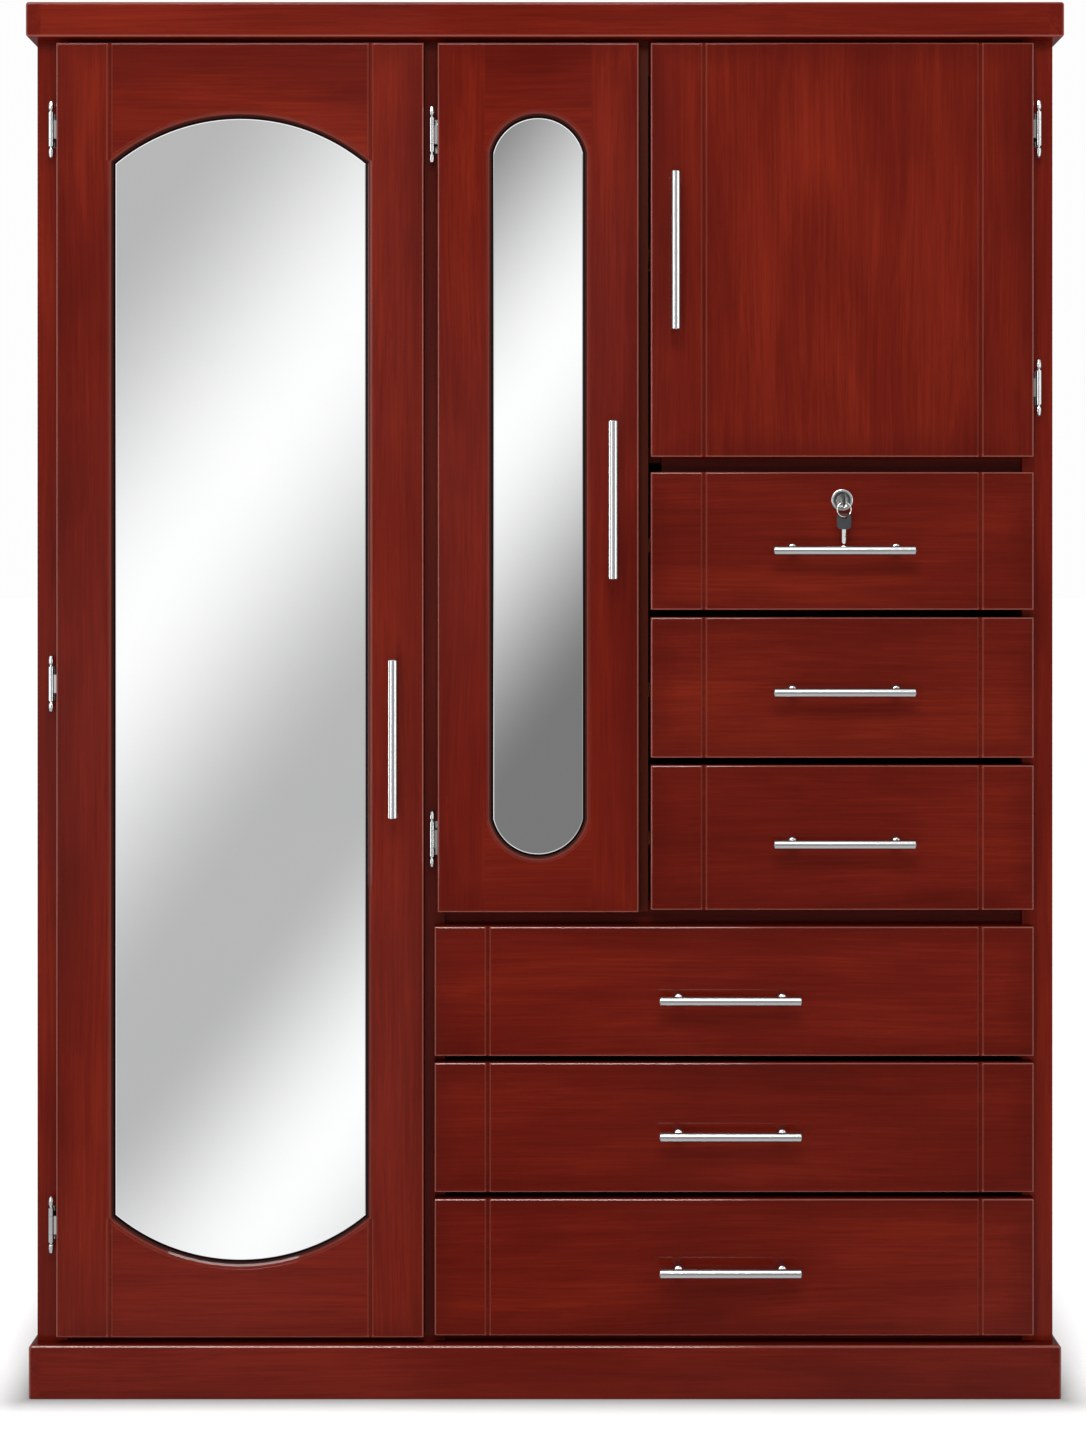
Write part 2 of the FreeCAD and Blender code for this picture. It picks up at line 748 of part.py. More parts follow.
# ---- hanging rail --------------------------------------------------------------
def hanging_rail():
    """A tube across the left bay, and the two flanged sockets that hold it."""
    left = -side_inner
    right = centre_partition_x[0]
    y = face_y + (rail_back + back_front) / 2
    z = hat_shelf_height - rail_drop
    start = left + socket_flange
    length = right - left - 2 * socket_flange
    tube = rod(rail_tube_radius, length, Vec(start, y, z), X_AXIS)
    tube = tube.cut(rod(rail_tube_radius - rail_tube_wall, length, Vec(start, y, z), X_AXIS))
    sockets = []
    for wall, inward in ((left, X_AXIS), (right, X_AXIS * -1)):
        base = Vec(wall, y, z)
        flange = rod(socket_flange_radius, socket_flange, base, inward)
        cup = rod(socket_cup_radius, socket_flange + socket_cup_length, base, inward)
        hollow = rod(rail_tube_radius + tube_fit, socket_cup_length,
                     base + inward * socket_flange, inward)
        sockets.append(flange.fuse(cup).cut(hollow).removeSplitter())
    return tube, sockets


# ---- plinth and cornice --------------------------------------------------------
def plinth_boards():
    """A box of boards under the case, its outer top edges rounded."""
    half = plinth_half
    inner = half - plinth_board
    z_span = (0, plinth_height)
    front_back = plinth_front_board - plinth_proud
    blank = block((-half, half), (-plinth_proud, body_depth), z_span)

    def outer_edge(box):
        on_top = box.ZMin > plinth_height - TINY and box.YMin < face_y + body_depth - TINY
        corner = box.YMax < face_y - plinth_proud + TINY and box.ZLength > TINY
        return on_top or (corner and box.XLength < TINY)

    blank = rounded(blank, plinth_round, outer_edge)
    everything = (-1, plinth_height + 1)
    hollow = block((-inner, inner), (front_back, body_depth - plinth_board), everything)
    blank = blank.cut(hollow)
    front = blank.common(block((-half, half), (-plinth_proud, front_back), everything))
    rest = blank.cut(front)
    back_zone = block((-inner, inner), (front_back, body_depth + 1), everything)
    return [front, rest.cut(back_zone), rest.common(back_zone)]


def cornice_boards():
    """Mouldings round the top, with all the outer edges rounded."""
    half = cornice_half
    inner = half - cornice_board
    z_span = (case_top, overall_height)
    front_back = cornice_board - cornice_proud
    blank = block((-half, half), (-cornice_proud, body_depth), z_span)
    back_y = face_y + body_depth
    blank = rounded(blank, cornice_round, lambda box: box.YMin < back_y - TINY)
    everything = (case_top - 1, overall_height + 1)
    hollow = block((-inner, inner), (front_back, body_depth - cornice_back_board), everything)
    blank = blank.cut(hollow)
    front = blank.common(block((-half, half), (-cornice_proud, front_back), everything))
    rest = blank.cut(front)
    back_zone = block((-inner, inner), (front_back, body_depth + 1), everything)
    return [front, rest.cut(back_zone), rest.common(back_zone)]


def top_board():
    """The dust board let in flush between the cornice mouldings."""
    inner = cornice_half - cornice_board
    return block((-inner, inner),
                 (cornice_board - cornice_proud, body_depth - cornice_back_board),
                 (overall_height - top_board_thickness, overall_height))


# ---- drawers -------------------------------------------------------------------
def drawer_bay(number):
    """X span of the front, faces of the bay, and edges of the way in, for one drawer."""
    if number < small_count:
        left_face = upper_partition_x[1]
        return right_front_x, (left_face, side_inner), (left_face, outer_stile_inner)
    left_face = centre_partition_x[1]
    return wide_front_x, (left_face, side_inner), (centre_stile_x[1], outer_stile_inner)


def box_z(number):
    low, high = drawer_z[number]
    return (low + rail_lap + box_rail_air, high - rail_lap - box_headroom)


def runner_z(number):
    low, high = box_z(number)
    middle = (low + high) / 2
    return (middle - runner_height / 2, middle + runner_height / 2)


def drawer_box(number):
    """Sides, back and bottom panel, with a groove in each side for its runner."""
    _, _, way_in = drawer_bay(number)
    left = way_in[0] + box_side_gap
    right = way_in[1] - box_side_gap
    low, high = box_z(number)
    start = front_thickness
    end = back_front - box_back_gap
    bottom_z = (low + box_bottom_rise, low + box_bottom_rise + box_bottom)
    bottom = block((left + box_side - box_bottom_tongue, right - box_side + box_bottom_tongue),
                   (start, end - box_back), bottom_z)
    back = block((left + box_side, right - box_side), (end - box_back, end), (low, high))
    groove_start = stile_back + runner_start_gap - 1
    groove_z = (runner_z(number)[0] - runner_play, runner_z(number)[1] + runner_play)
    bite = runner_bite + 1
    sides = []
    for span, groove in (((left, left + box_side), (left - 1, left + bite)),
                         ((right - box_side, right), (right - bite, right + 1))):
        side = block(span, (start, end), (low, high))
        side = side.cut(block(groove, (groove_start, end + 1), groove_z))
        sides.append(side.cut(bottom))
    return sides + [back, bottom]


def runners(number):
    """Wooden runners fixed inside the bay, one in each side groove."""
    _, bay, way_in = drawer_bay(number)
    depths = (stile_back + runner_start_gap, back_front - runner_back_gap)
    z_span = runner_z(number)
    left_tip = way_in[0] + box_side_gap + runner_bite
    right_tip = way_in[1] - box_side_gap - runner_bite
    return [block((bay[0], left_tip), depths, z_span),
            block((right_tip, bay[1]), depths, z_span)]


def catches():
    """Magnetic catches under the top rail, at the free side of each door."""
    places = (left_door_x[1] - catch_inset, middle_door_x[1] - catch_inset,
              right_front_x[0] + catch_inset)
    depths = (front_thickness + catch_air, front_thickness + catch_air + catch_depth)
    z_span = (top_rail_z[0] - catch_height, top_rail_z[0])
    return [block((x - catch_width / 2, x + catch_width / 2), depths, z_span) for x in places]


# ---- drawer lock and keys ------------------------------------------------------
forward = Y_AXIS * -1


def lock_point(depth):
    return Vec(lock_x, face_y + depth, lock_z)


def lock_housing():
    """Rosette ring and threaded body, bored for the plug."""
    ring = rod(lock_rosette_radius, lock_rosette, lock_point(0), forward)
    ring = rounded(ring, lock_rosette * 0.6, lambda box: box.YMax < face_y - TINY)
    dish = Part.makeCone(lock_rosette_radius - lock_ring_width + 1, lock_plug_radius + 0.6,
                         lock_rosette * 0.5, lock_point(-lock_rosette), Y_AXIS)
    body = rod(lock_body_radius, lock_body_length, lock_point(0), Y_AXIS)
    bore = rod(lock_plug_radius + lock_plug_clearance, lock_body_length + lock_rosette + 2,
               lock_point(-lock_rosette - 1), Y_AXIS)
    return ring.fuse(body).cut(dish).cut(bore).removeSplitter()


plug_front = -lock_rosette + lock_plug_recess
plug_back = lock_body_length + 0.4
bow_start = -lock_rosette - key_shank


def keyway():
    """Slot that the blade slides in."""
    half_x = key_blade_thickness / 2 + keyway_play
    half_z = key_blade_width / 2 + keyway_play
    return block((lock_x - half_x, lock_x + half_x),
                 (plug_front - 1, plug_front + key_blade_length + 1),
                 (lock_z - half_z, lock_z + half_z))


def lock_core():
    """Plug, cam and the screw that holds the cam on."""
    plug = rod(lock_plug_radius, plug_back - plug_front, lock_point(plug_front), Y_AXIS)
    plug = plug.cut(keyway())
    cam_back = plug_back + cam_thickness
    hub = rod(cam_width / 2, cam_thickness, lock_point(plug_back), Y_AXIS)
    tip_x = lock_x - cam_reach + cam_tip_radius
    tip = rod(cam_tip_radius, cam_thickness, Vec(tip_x, face_y + plug_back, lock_z), Y_AXIS)
    hub_half = cam_width / 2
    blade = extruded([Vec(lock_x, face_y + plug_back, lock_z - hub_half),
                      Vec(lock_x, face_y + plug_back, lock_z + hub_half),
                      Vec(tip_x, face_y + plug_back, lock_z + cam_tip_radius),
                      Vec(tip_x, face_y + plug_back, lock_z - cam_tip_radius)],
                     Vec(0, cam_thickness, 0))
    cam = hub.fuse(blade).fuse(tip).removeSplitter()
    screw = rod(cam_screw_radius, cam_screw_head, lock_point(cam_back), Y_AXIS)
    screw = rounded(screw, cam_screw_head * 0.5, lambda box: box.YMin > face_y + cam_back + TINY)
    return [plug, cam, screw]


def key_blade():
    """A flat key standing upright, its tip down and its bow seat at the origin."""
    half = key_blade_width / 2
    length = key_blade_length + key_shank
    points = [Vec(-half, 0, 0), Vec(half, 0, 0), Vec(half, 0, -length + half),
              Vec(half * 0.4, 0, -length), Vec(-half * 0.4, 0, -length),
              Vec(-half, 0, -length + half)]
    blade = extruded(points, Vec(0, key_blade_thickness, 0))
    blade.translate(Vec(0, -key_blade_thickness / 2, 0))
    for number, share in enumerate(bitting_shares):
        middle = -key_shank - bitting_start - number * bitting_pitch
        floor_x = half - bitting_depth * share
        tooth = [Vec(floor_x, 0, middle - notch_floor_half),
                 Vec(floor_x, 0, middle + notch_floor_half),
                 Vec(half + 1, 0, middle + notch_mouth_half),
                 Vec(half + 1, 0, middle - notch_mouth_half)]
        notch = extruded(tooth, Vec(0, key_blade_thickness + 2, 0))
        notch.translate(Vec(0, -key_blade_thickness / 2 - 1, 0))
        blade = blade.cut(notch)
    return blade


def key_bow():
    """Plastic bow above the blade, with a slot near its top for the ring."""
    half_x = bow_width / 2
    half_y = bow_thickness / 2
    plate = local_box((-half_x, half_x), (-half_y, half_y), (0, bow_length))
    plate = rounded(plate, bow_corner, lambda box: box.YLength > bow_thickness - TINY)
    slot_top = bow_length - bow_slot_edge
    slot = local_box((-bow_slot_width / 2, bow_slot_width / 2), (-half_y - 1, half_y + 1),
                     (slot_top - bow_slot_height, slot_top))
    slot = rounded(slot, bow_slot_height * 0.45, lambda box: box.YLength > bow_thickness)
    return plate.cut(slot)


def inserted(shape):
    """Lay a key down into the plug, bow towards the front, flat side upright."""
    placed = shape.copy()
    placed.rotate(Vec(0, 0, 0), X_AXIS, 90)
    placed.rotate(Vec(0, 0, 0), Y_AXIS, 90)
    placed.translate(lock_point(bow_start))
    return placed


slot_middle_depth = bow_start - (bow_length - bow_slot_edge - bow_slot_height / 2)
ring_top = lock_z - bow_slot_width / 2 + ring_slot_air
ring_middle = Vec(lock_x, face_y + slot_middle_depth, ring_top - ring_radius)


def key_ring():
    ring = Part.makeTorus(ring_radius, ring_wire, Vec(0, 0, 0), Y_AXIS)
    ring.rotate(Vec(0, 0, 0), Z_AXIS, ring_turn)
    ring.translate(ring_middle)
    return ring


def spare(shape):
    """Hang a key from the bottom of the ring by its slot."""
    placed = shape.copy()
    placed.rotate(Vec(0, 0, 0), Z_AXIS, spare_turn)
    wire_z = ring_middle.z - ring_radius
    lift = wire_z + spare_slot_air + bow_slot_edge - bow_length
    placed.translate(Vec(ring_middle.x, ring_middle.y, lift))
    return placed


# ---- build ---------------------------------------------------------------------
def build_case():
    stile_solids, rail_solids = face_frame()
    deck_solids = decks()
    panel = side_panel()
    partition_solids = partitions(rail_solids + deck_solids)
    pins = shelf_pins()
    right_panel = mirrored(panel, 0)
    for pin in pins:
        panel = panel.cut(pin)
        right_panel = right_panel.cut(pin)
        partition_solids = [solid.cut(pin) for solid in partition_solids]
    frame_screws = []
    frame_leaves = []
    pins_and_finials = []
    for door in ("left_door", "middle_door", "right_door"):
        for place in hinge_places(door):
            frame_leaves.append(hung(frame_leaf(), *place))
            pins_and_finials.append(hung(hinge_pin(), *place))
            frame_screws += [hung(screw, *place) for screw in frame_leaf_screws()]
    tube, sockets = hanging_rail()
    all_runners = []
    for number in range(len(drawer_z)):
        all_runners += runners(number)
    save("side_panel_left", panel)
    save("side_panel_right", right_panel)
    save("face_stiles", stile_solids)
    save("face_rails", rail_solids)
    save("partitions", partition_solids)
    save("case_decks", deck_solids)
    save("shelves", shelf_boards())
    save("shelf_pins", pins)
    save("back_panel", block((-side_inner - back_rebate, side_inner + back_rebate),
                             (back_front, back_front + back_thickness), case_z))
    save("hanging_rail", tube)
    save("rail_sockets", sockets)
    save("drawer_runners", all_runners)
    save("door_catches", catches())
    save("hinge_frame_leaves", frame_leaves)
    save("hinge_pins", pins_and_finials)
    save("hinge_screws", frame_screws)
    save("plinth", plinth_boards())
    save("cornice", cornice_boards())
    save("top_board", top_board())


def build_mirror_doors():
    left_middle = (left_door_x[0] + left_door_x[1]) / 2
    left_opening = ArchedOpening(left_middle, left_mirror_width,
                                 left_door_z[0] + left_mirror_bottom,
                                 left_door_z[1] - left_mirror_top, left_arch_rise)
    middle_middle = (middle_door_x[0] + middle_door_x[1]) / 2
    middle_opening = ArchedOpening(middle_middle, middle_mirror_width,
                                   middle_door_z[0] + middle_mirror_bottom,
                                   middle_door_z[1] - middle_mirror_top, middle_arch_rise)
    doors = (("left_door", left_door_x, left_door_z, left_opening, left_rail_lap, True,
              left_handle_inset, left_handle_drop),
             ("middle_door", middle_door_x, middle_door_z, middle_opening, middle_rail_lap,
              False, middle_handle_inset, middle_handle_drop))
    for door, x_span, z_span, opening, lap, with_grooves, inset, drop in doors:
        stiles, rails = framed_door(x_span, z_span, opening, lap, with_grooves)
        stiles, leaves = hinged(door, stiles)
        glass, board = mirror_sheets(opening)
        save(door + "_stiles", stiles)
        save(door + "_rails", rails)
        save(door + "_mirror", glass)
        save(door + "_mirror_back", board)
        save(door + "_hinge_leaves", leaves)
        save(door + "_handle", door_handle(x_span[1] - inset, sum(z_span) / 2 - drop))


def build_right_door():
    blank = grooved_front(right_front_x, right_door_z)
    joints = (right_front_x[0] + groove_inset, right_front_x[1] - groove_inset)
    middle_zone = block(joints, (-1, front_thickness + 1),
                        (right_door_z[0] - 1, right_door_z[1] + 1))
    stiles, leaves = hinged("right_door", blank.cut(middle_zone))
    save("right_door_stiles", stiles)
    save("right_door_panel", blank.common(middle_zone))
    save("right_door_hinge_leaves", leaves)
    save("right_door_handle", door_handle(right_front_x[0] + right_handle_inset,
                                          sum(right_door_z) / 2 - right_handle_drop))


def build_drawers():
    for number, z_span in enumerate(drawer_z):
        node = "drawer_" + str(number + 1)
        x_span = drawer_bay(number)[0]
        front = grooved_front(x_span, z_span)
        shift = wide_handle_shift
        if number < small_count:
            shift = small_handle_shift
        if number == 0:
            front = front.cut(rod(lock_body_radius, front_thickness + 2, lock_point(-1), Y_AXIS))
        save(node + "_front", front)
        save(node + "_box", drawer_box(number))
        middle_x = (x_span[0] + x_span[1]) / 2 + shift
        middle_z = (z_span[0] + z_span[1]) / 2 - handle_drops[number]
        save(node + "_handle", drawer_handle(middle_x, middle_z))


def build_lock():
    save("lock_housing", lock_housing())
    save("lock_plug", lock_core())
    save("key_blade", inserted(key_blade()))
    save("key_bow", inserted(key_bow()))
    save("key_ring", key_ring())
    save("spare_key_blade", spare(key_blade()))
    save("spare_key_bow", spare(key_bow()))


os.makedirs("parts", exist_ok=True)
build_case()
build_mirror_doors()
build_right_door()
build_drawers()
build_lock()
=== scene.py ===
"""A three-column mahogany armoire in a pale studio: finishes, mirrors and small fittings."""
import math
import random

import bmesh
import bpy
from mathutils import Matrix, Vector


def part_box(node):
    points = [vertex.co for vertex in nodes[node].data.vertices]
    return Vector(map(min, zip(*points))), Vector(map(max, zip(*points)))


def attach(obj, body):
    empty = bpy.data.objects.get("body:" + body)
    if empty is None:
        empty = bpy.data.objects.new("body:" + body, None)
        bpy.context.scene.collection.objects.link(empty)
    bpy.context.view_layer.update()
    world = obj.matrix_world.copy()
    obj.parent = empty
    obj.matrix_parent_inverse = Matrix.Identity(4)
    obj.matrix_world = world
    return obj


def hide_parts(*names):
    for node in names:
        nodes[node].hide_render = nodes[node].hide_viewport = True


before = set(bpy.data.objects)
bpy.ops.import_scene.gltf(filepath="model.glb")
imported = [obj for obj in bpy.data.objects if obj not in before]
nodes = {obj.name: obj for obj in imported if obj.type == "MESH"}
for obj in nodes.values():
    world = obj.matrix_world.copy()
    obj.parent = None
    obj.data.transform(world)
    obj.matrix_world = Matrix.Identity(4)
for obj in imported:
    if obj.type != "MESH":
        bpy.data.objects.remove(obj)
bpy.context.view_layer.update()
MM = 0.001

# ---- sizes and places ----------------------------------------------------------
left_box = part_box("left_door_stiles")
middle_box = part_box("middle_door_stiles")
face_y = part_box("drawer_2_front")[0].y
door_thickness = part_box("drawer_2_front")[1].y - face_y
PARTITION = 20 * MM
left_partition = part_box("partitions")[0].x + PARTITION / 2      # the middle of each
right_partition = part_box("partitions")[1].x - PARTITION / 2
LIPPING = 75 * MM             # front edges stained and darkened with painted shade reach this far behind the door faces
TONER_WIDTH = 45 * MM         # of the darker band inside a board's outline
STRIP_HALF = 30 * MM          # half the strip of painted shade in front of the left partition
DRAWER_SIDE = 16.2 * MM       # a drawer box's side, and a little past it
PLINTH_TURN = 15 * MM         # in from the ends, where the grain turns front to back
CORNICE_TURN = 20 * MM
LEFT_ARCH_RISE = 60 * MM
MIDDLE_ARCH_RISE = 48 * MM
DOOR_POSTS = 158 * MM         # between the two posts of a handle
DRAWER_POSTS = 135 * MM
DRAWER_POST_RISE = 2.2 * MM   # above the middle of the handle's box
PINS_ABOVE_DECK = 0.65        # pins along the right partition start at this height

# Of the mirrors, in mm: outward from the visible opening, or back from the door faces.
GLASS_SEAT = 5.5              # glass hidden under the lip
SHADE_BAND_EDGE = -1.7             # where the near-black band of painted shade ends and the bevel begins
FLAT_EDGE = -2.7              # where the bevel ends and the flat middle begins
GLASS_BACK = 12.5
BAND_FACE = 9.5
FLAT_FACE = 9.38


# ---- node helpers --------------------------------------------------------------
def put(tree, kind, feeds=None, **settings):
    """Add a node, set it up, and link or fill its inputs."""
    made = tree.nodes.new(kind)
    for name, value in settings.items():
        setattr(made, name, value)
    for key, value in (feeds or {}).items():
        if isinstance(value, bpy.types.NodeSocket):
            tree.links.new(value, made.inputs[key])
        else:
            made.inputs[key].default_value = value
    return made


def maths(tree, operation, *values):
    """One Math node, its inputs filled in order."""
    return put(tree, "ShaderNodeMath", dict(enumerate(values)), operation=operation).outputs[0]


def remap(tree, value, low, high, to_low=0.0, to_high=1.0, smooth=False):
    kind = "SMOOTHSTEP" if smooth else "LINEAR"
    return put(tree, "ShaderNodeMapRange",
               {"Value": value, "From Min": low, "From Max": high,
                "To Min": to_low, "To Max": to_high}, interpolation_type=kind).outputs[0]


def blend_colours(tree, share, first, second):
    made = put(tree, "ShaderNodeMix", {"Factor": share}, data_type="RGBA")
    for socket, value in ((made.inputs[6], first), (made.inputs[7], second)):
        if isinstance(value, bpy.types.NodeSocket):
            tree.links.new(value, socket)
        else:
            socket.default_value = value
    return made.outputs[2]


def noise(tree, vector, scale, detail=3.0, roughness=0.55, distortion=0.0):
    return put(tree, "ShaderNodeTexNoise",
               {"Vector": vector, "Scale": scale, "Detail": detail, "Roughness": roughness,
                "Distortion": distortion}).outputs["Fac"]


def stretched(tree, vector, scale):
    return put(tree, "ShaderNodeMapping", {"Vector": vector, "Scale": scale}).outputs[0]


def new_group(name, inputs, outputs):
    """An empty shader group with its named inputs and outputs."""
    tree = bpy.data.node_groups.new(name, "ShaderNodeTree")
    for socket_name, kind, value in inputs:
        socket = tree.interface.new_socket(socket_name, in_out="INPUT", socket_type=kind)
        if value is not None:
            socket.default_value = value
    for socket_name, kind in outputs:
        tree.interface.new_socket(socket_name, in_out="OUTPUT", socket_type=kind)
    return tree, tree.nodes.new("NodeGroupInput").outputs, tree.nodes.new("NodeGroupOutput")


FLOAT, COLOUR, VECTOR = "NodeSocketFloat", "NodeSocketColor", "NodeSocketVector"


# ---- shared effects ------------------------------------------------------------
def grain_group():
    """Straight-grained timber along Z: fibres, streaks, clouds and fine pores."""
    tree, given, result = new_group(
        "timber grain",
        [("Vector", VECTOR, None), ("Dark", COLOUR, (0.05, 0.01, 0.01, 1)),
         ("Mid", COLOUR, (0.1, 0.02, 0.01, 1)), ("Light", COLOUR, (0.2, 0.03, 0.02, 1)),
         ("Fibre", FLOAT, 0.3), ("Streak", FLOAT, 0.5), ("Cloud", FLOAT, 0.5)],
        [("Color", COLOUR), ("Height", FLOAT)])
    sway = put(tree, "ShaderNodeTexNoise",
               {"Vector": stretched(tree, given["Vector"], (1.0, 1.0, 0.25)),
                "Scale": 5.0, "Detail": 2.0}).outputs["Color"]
    bent = put(tree, "ShaderNodeVectorMath", {0: sway, 1: (-0.5, -0.5, -0.5)}, operation="ADD")
    bent = put(tree, "ShaderNodeVectorMath", {0: bent.outputs[0], 1: (0.035, 0.035, 0.0)},
               operation="MULTIPLY")
    coords = put(tree, "ShaderNodeVectorMath", {0: given["Vector"], 1: bent.outputs[0]},
                 operation="ADD").outputs[0]
    fibre = noise(tree, stretched(tree, coords, (1.0, 1.0, 0.022)), 300.0, 4.0, 0.65)
    streak = noise(tree, stretched(tree, coords, (1.0, 1.0, 0.05)), 75.0, 4.0, 0.62, 0.3)
    cloud = noise(tree, stretched(tree, coords, (1.0, 1.0, 0.3)), 8.0, 3.0, 0.5, 0.6)
    pores = noise(tree, stretched(tree, coords, (1.0, 1.0, 0.014)), 1150.0, 1.0, 0.5)
    pores = remap(tree, pores, 0.62, 0.74)
    total = maths(tree, "MULTIPLY_ADD", maths(tree, "SUBTRACT", fibre, 0.5), given["Fibre"], 0.5)
    for value, share in ((streak, given["Streak"]), (cloud, given["Cloud"])):
        part = maths(tree, "MULTIPLY", maths(tree, "SUBTRACT", value, 0.5), share)
        total = maths(tree, "ADD", total, part)
    low = blend_colours(tree, remap(tree, total, 0.05, 0.5), given["Dark"], given["Mid"])
    colour = blend_colours(tree, remap(tree, total, 0.5, 0.95), low, given["Light"])
    pore_share = maths(tree, "MULTIPLY", pores, 0.35)
    colour = blend_colours(tree, pore_share, colour, given["Dark"])
    height = maths(tree, "SUBTRACT", maths(tree, "MULTIPLY", fibre, 0.35), pores)
    tree.links.new(colour, result.inputs["Color"])
    tree.links.new(height, result.inputs["Height"])
    return tree


def toner_group():
    """How near a point is to the outline of a board, seen from the front."""
    tree, given, result = new_group(
        "edge toner", [("Vector", VECTOR, None), ("Centre", VECTOR, None),
                       ("Half", VECTOR, None), ("Width", FLOAT, 0.04)],
        [("Edge", FLOAT), ("Rim", FLOAT)])
    offset = put(tree, "ShaderNodeVectorMath", {0: given["Vector"], 1: given["Centre"]},
                 operation="SUBTRACT").outputs[0]
    away = put(tree, "ShaderNodeVectorMath", {0: offset}, operation="ABSOLUTE").outputs[0]
    inside = put(tree, "ShaderNodeVectorMath", {0: given["Half"], 1: away},
                 operation="SUBTRACT").outputs[0]
    split = put(tree, "ShaderNodeSeparateXYZ", {0: inside}).outputs
    nearest = maths(tree, "MINIMUM", split["X"], split["Z"])
    tree.links.new(remap(tree, nearest, 0.0031, 0.0040, 1.0, 0.0), result.inputs["Rim"])
    ragged = noise(tree, given["Vector"], 14.0, 3.0)
    nearest = maths(tree, "ADD", nearest,
                    maths(tree, "MULTIPLY", maths(tree, "SUBTRACT", ragged, 0.5), 0.05))
    share = maths(tree, "DIVIDE", nearest, given["Width"])
    tree.links.new(remap(tree, share, 0.0, 1.0, 1.0, 0.0, True), result.inputs["Edge"])
    return tree


def arris_group():
    """Rounded corners and mouldings, where no side of the board is square to the axes."""
    tree, given, result = new_group("arris mask", [("Normal", VECTOR, None)],
                                    [("Arris", FLOAT)])
    sizes = put(tree, "ShaderNodeVectorMath", {0: given["Normal"]}, operation="ABSOLUTE")
    split = put(tree, "ShaderNodeSeparateXYZ", {0: sizes.outputs[0]}).outputs
    squarest = maths(tree, "MAXIMUM", maths(tree, "MAXIMUM", split["X"], split["Y"]),
                     split["Z"])
    tree.links.new(remap(tree, squarest, 0.80, 0.985, 1.0, 0.0, True), result.inputs["Arris"])
    return tree


def recess_group():
    """Grooves and sunk mouldings in a front, between its face and its back."""
    tree, given, result = new_group(
        "stain and painted shade in recesses", [("Vector", VECTOR, None), ("Face", FLOAT, 0.0),
                              ("Depth", FLOAT, 0.02)],
        [("Recess", FLOAT), ("Deep", FLOAT)])
    place = put(tree, "ShaderNodeSeparateXYZ", {0: given["Vector"]}).outputs["Y"]
    behind = maths(tree, "SUBTRACT", place, given["Face"])
    sunk = remap(tree, behind, 0.0006, 0.0024, 0.0, 1.0, True)
    back = maths(tree, "SUBTRACT", given["Depth"], behind)
    kept = remap(tree, back, 0.0015, 0.004, 0.0, 1.0, True)
    tree.links.new(maths(tree, "MULTIPLY", sunk, kept), result.inputs["Recess"])
    deep = remap(tree, behind, 0.0022, 0.0046, 0.0, 1.0, True)
    tree.links.new(maths(tree, "MULTIPLY", deep, kept), result.inputs["Deep"])
    return tree


def handling_group():
    """Faint smears and dust that change how a finish shines."""
    tree, given, result = new_group(
        "handling marks", [("Vector", VECTOR, None), ("Size", FLOAT, 9.0)],
        [("Smear", FLOAT), ("Ripple", FLOAT)])
    smear = noise(tree, given["Vector"], given["Size"], 5.0, 0.62, 0.8)
    ripple = noise(tree, given["Vector"], 110.0, 2.0, 0.5)
    tree.links.new(remap(tree, smear, 0.35, 0.75), result.inputs["Smear"])
    tree.links.new(ripple, result.inputs["Ripple"])
    return tree


def brushing_group():
    """Fine parallel lines along Z, as an abrasive belt leaves them."""
    tree, given, result = new_group(
        "brushing", [("Vector", VECTOR, None)], [("Lines", FLOAT)])
    fine = noise(tree, stretched(tree, given["Vector"], (1.0, 1.0, 0.004)), 2600.0, 2.0, 0.6)
    tree.links.new(fine, result.inputs["Lines"])
    return tree


timber_grain = grain_group()
edge_toner = toner_group()
arris_mask = arris_group()
stain_and_shade_in_recesses = recess_group()
handling_marks = handling_group()
brushing = brushing_group()


# ---- finishes ------------------------------------------------------------------
def new_material(name):
    material = bpy.data.materials.new(name)
    material.use_nodes = True
    tree = material.node_tree
    tree.nodes.clear()
    shader = tree.nodes.new("ShaderNodeBsdfPrincipled")
    output = tree.nodes.new("ShaderNodeOutputMaterial")
    tree.links.new(shader.outputs[0], output.inputs[0])
    coords = tree.nodes.new("ShaderNodeTexCoord").outputs["Object"]
    return material, tree, shader, coords


def use_group(tree, group, feeds):
    made = tree.nodes.new("ShaderNodeGroup")
    made.node_tree = group
    for key, value in feeds.items():
        if isinstance(value, bpy.types.NodeSocket):
            tree.links.new(value, made.inputs[key])
        else:
            made.inputs[key].default_value = value
    return made.outputs


TURNS = {"Z": (0.0, 0.0, 0.0), "X": (0.0, math.radians(-90), 0.0),
         "Y": (math.radians(90), 0.0, 0.0)}


def along(tree, coords, axis, shift):
    """Object coordinates turned so that the grain runs along Z."""
    return put(tree, "ShaderNodeMapping",
               {"Vector": coords, "Rotation": TURNS[axis], "Location": shift}).outputs[0]


def bump(tree, height, strength, distance):
    return put(tree, "ShaderNodeBump", {"Height": height, "Strength": strength,
                                        "Distance": distance}).outputs[0]


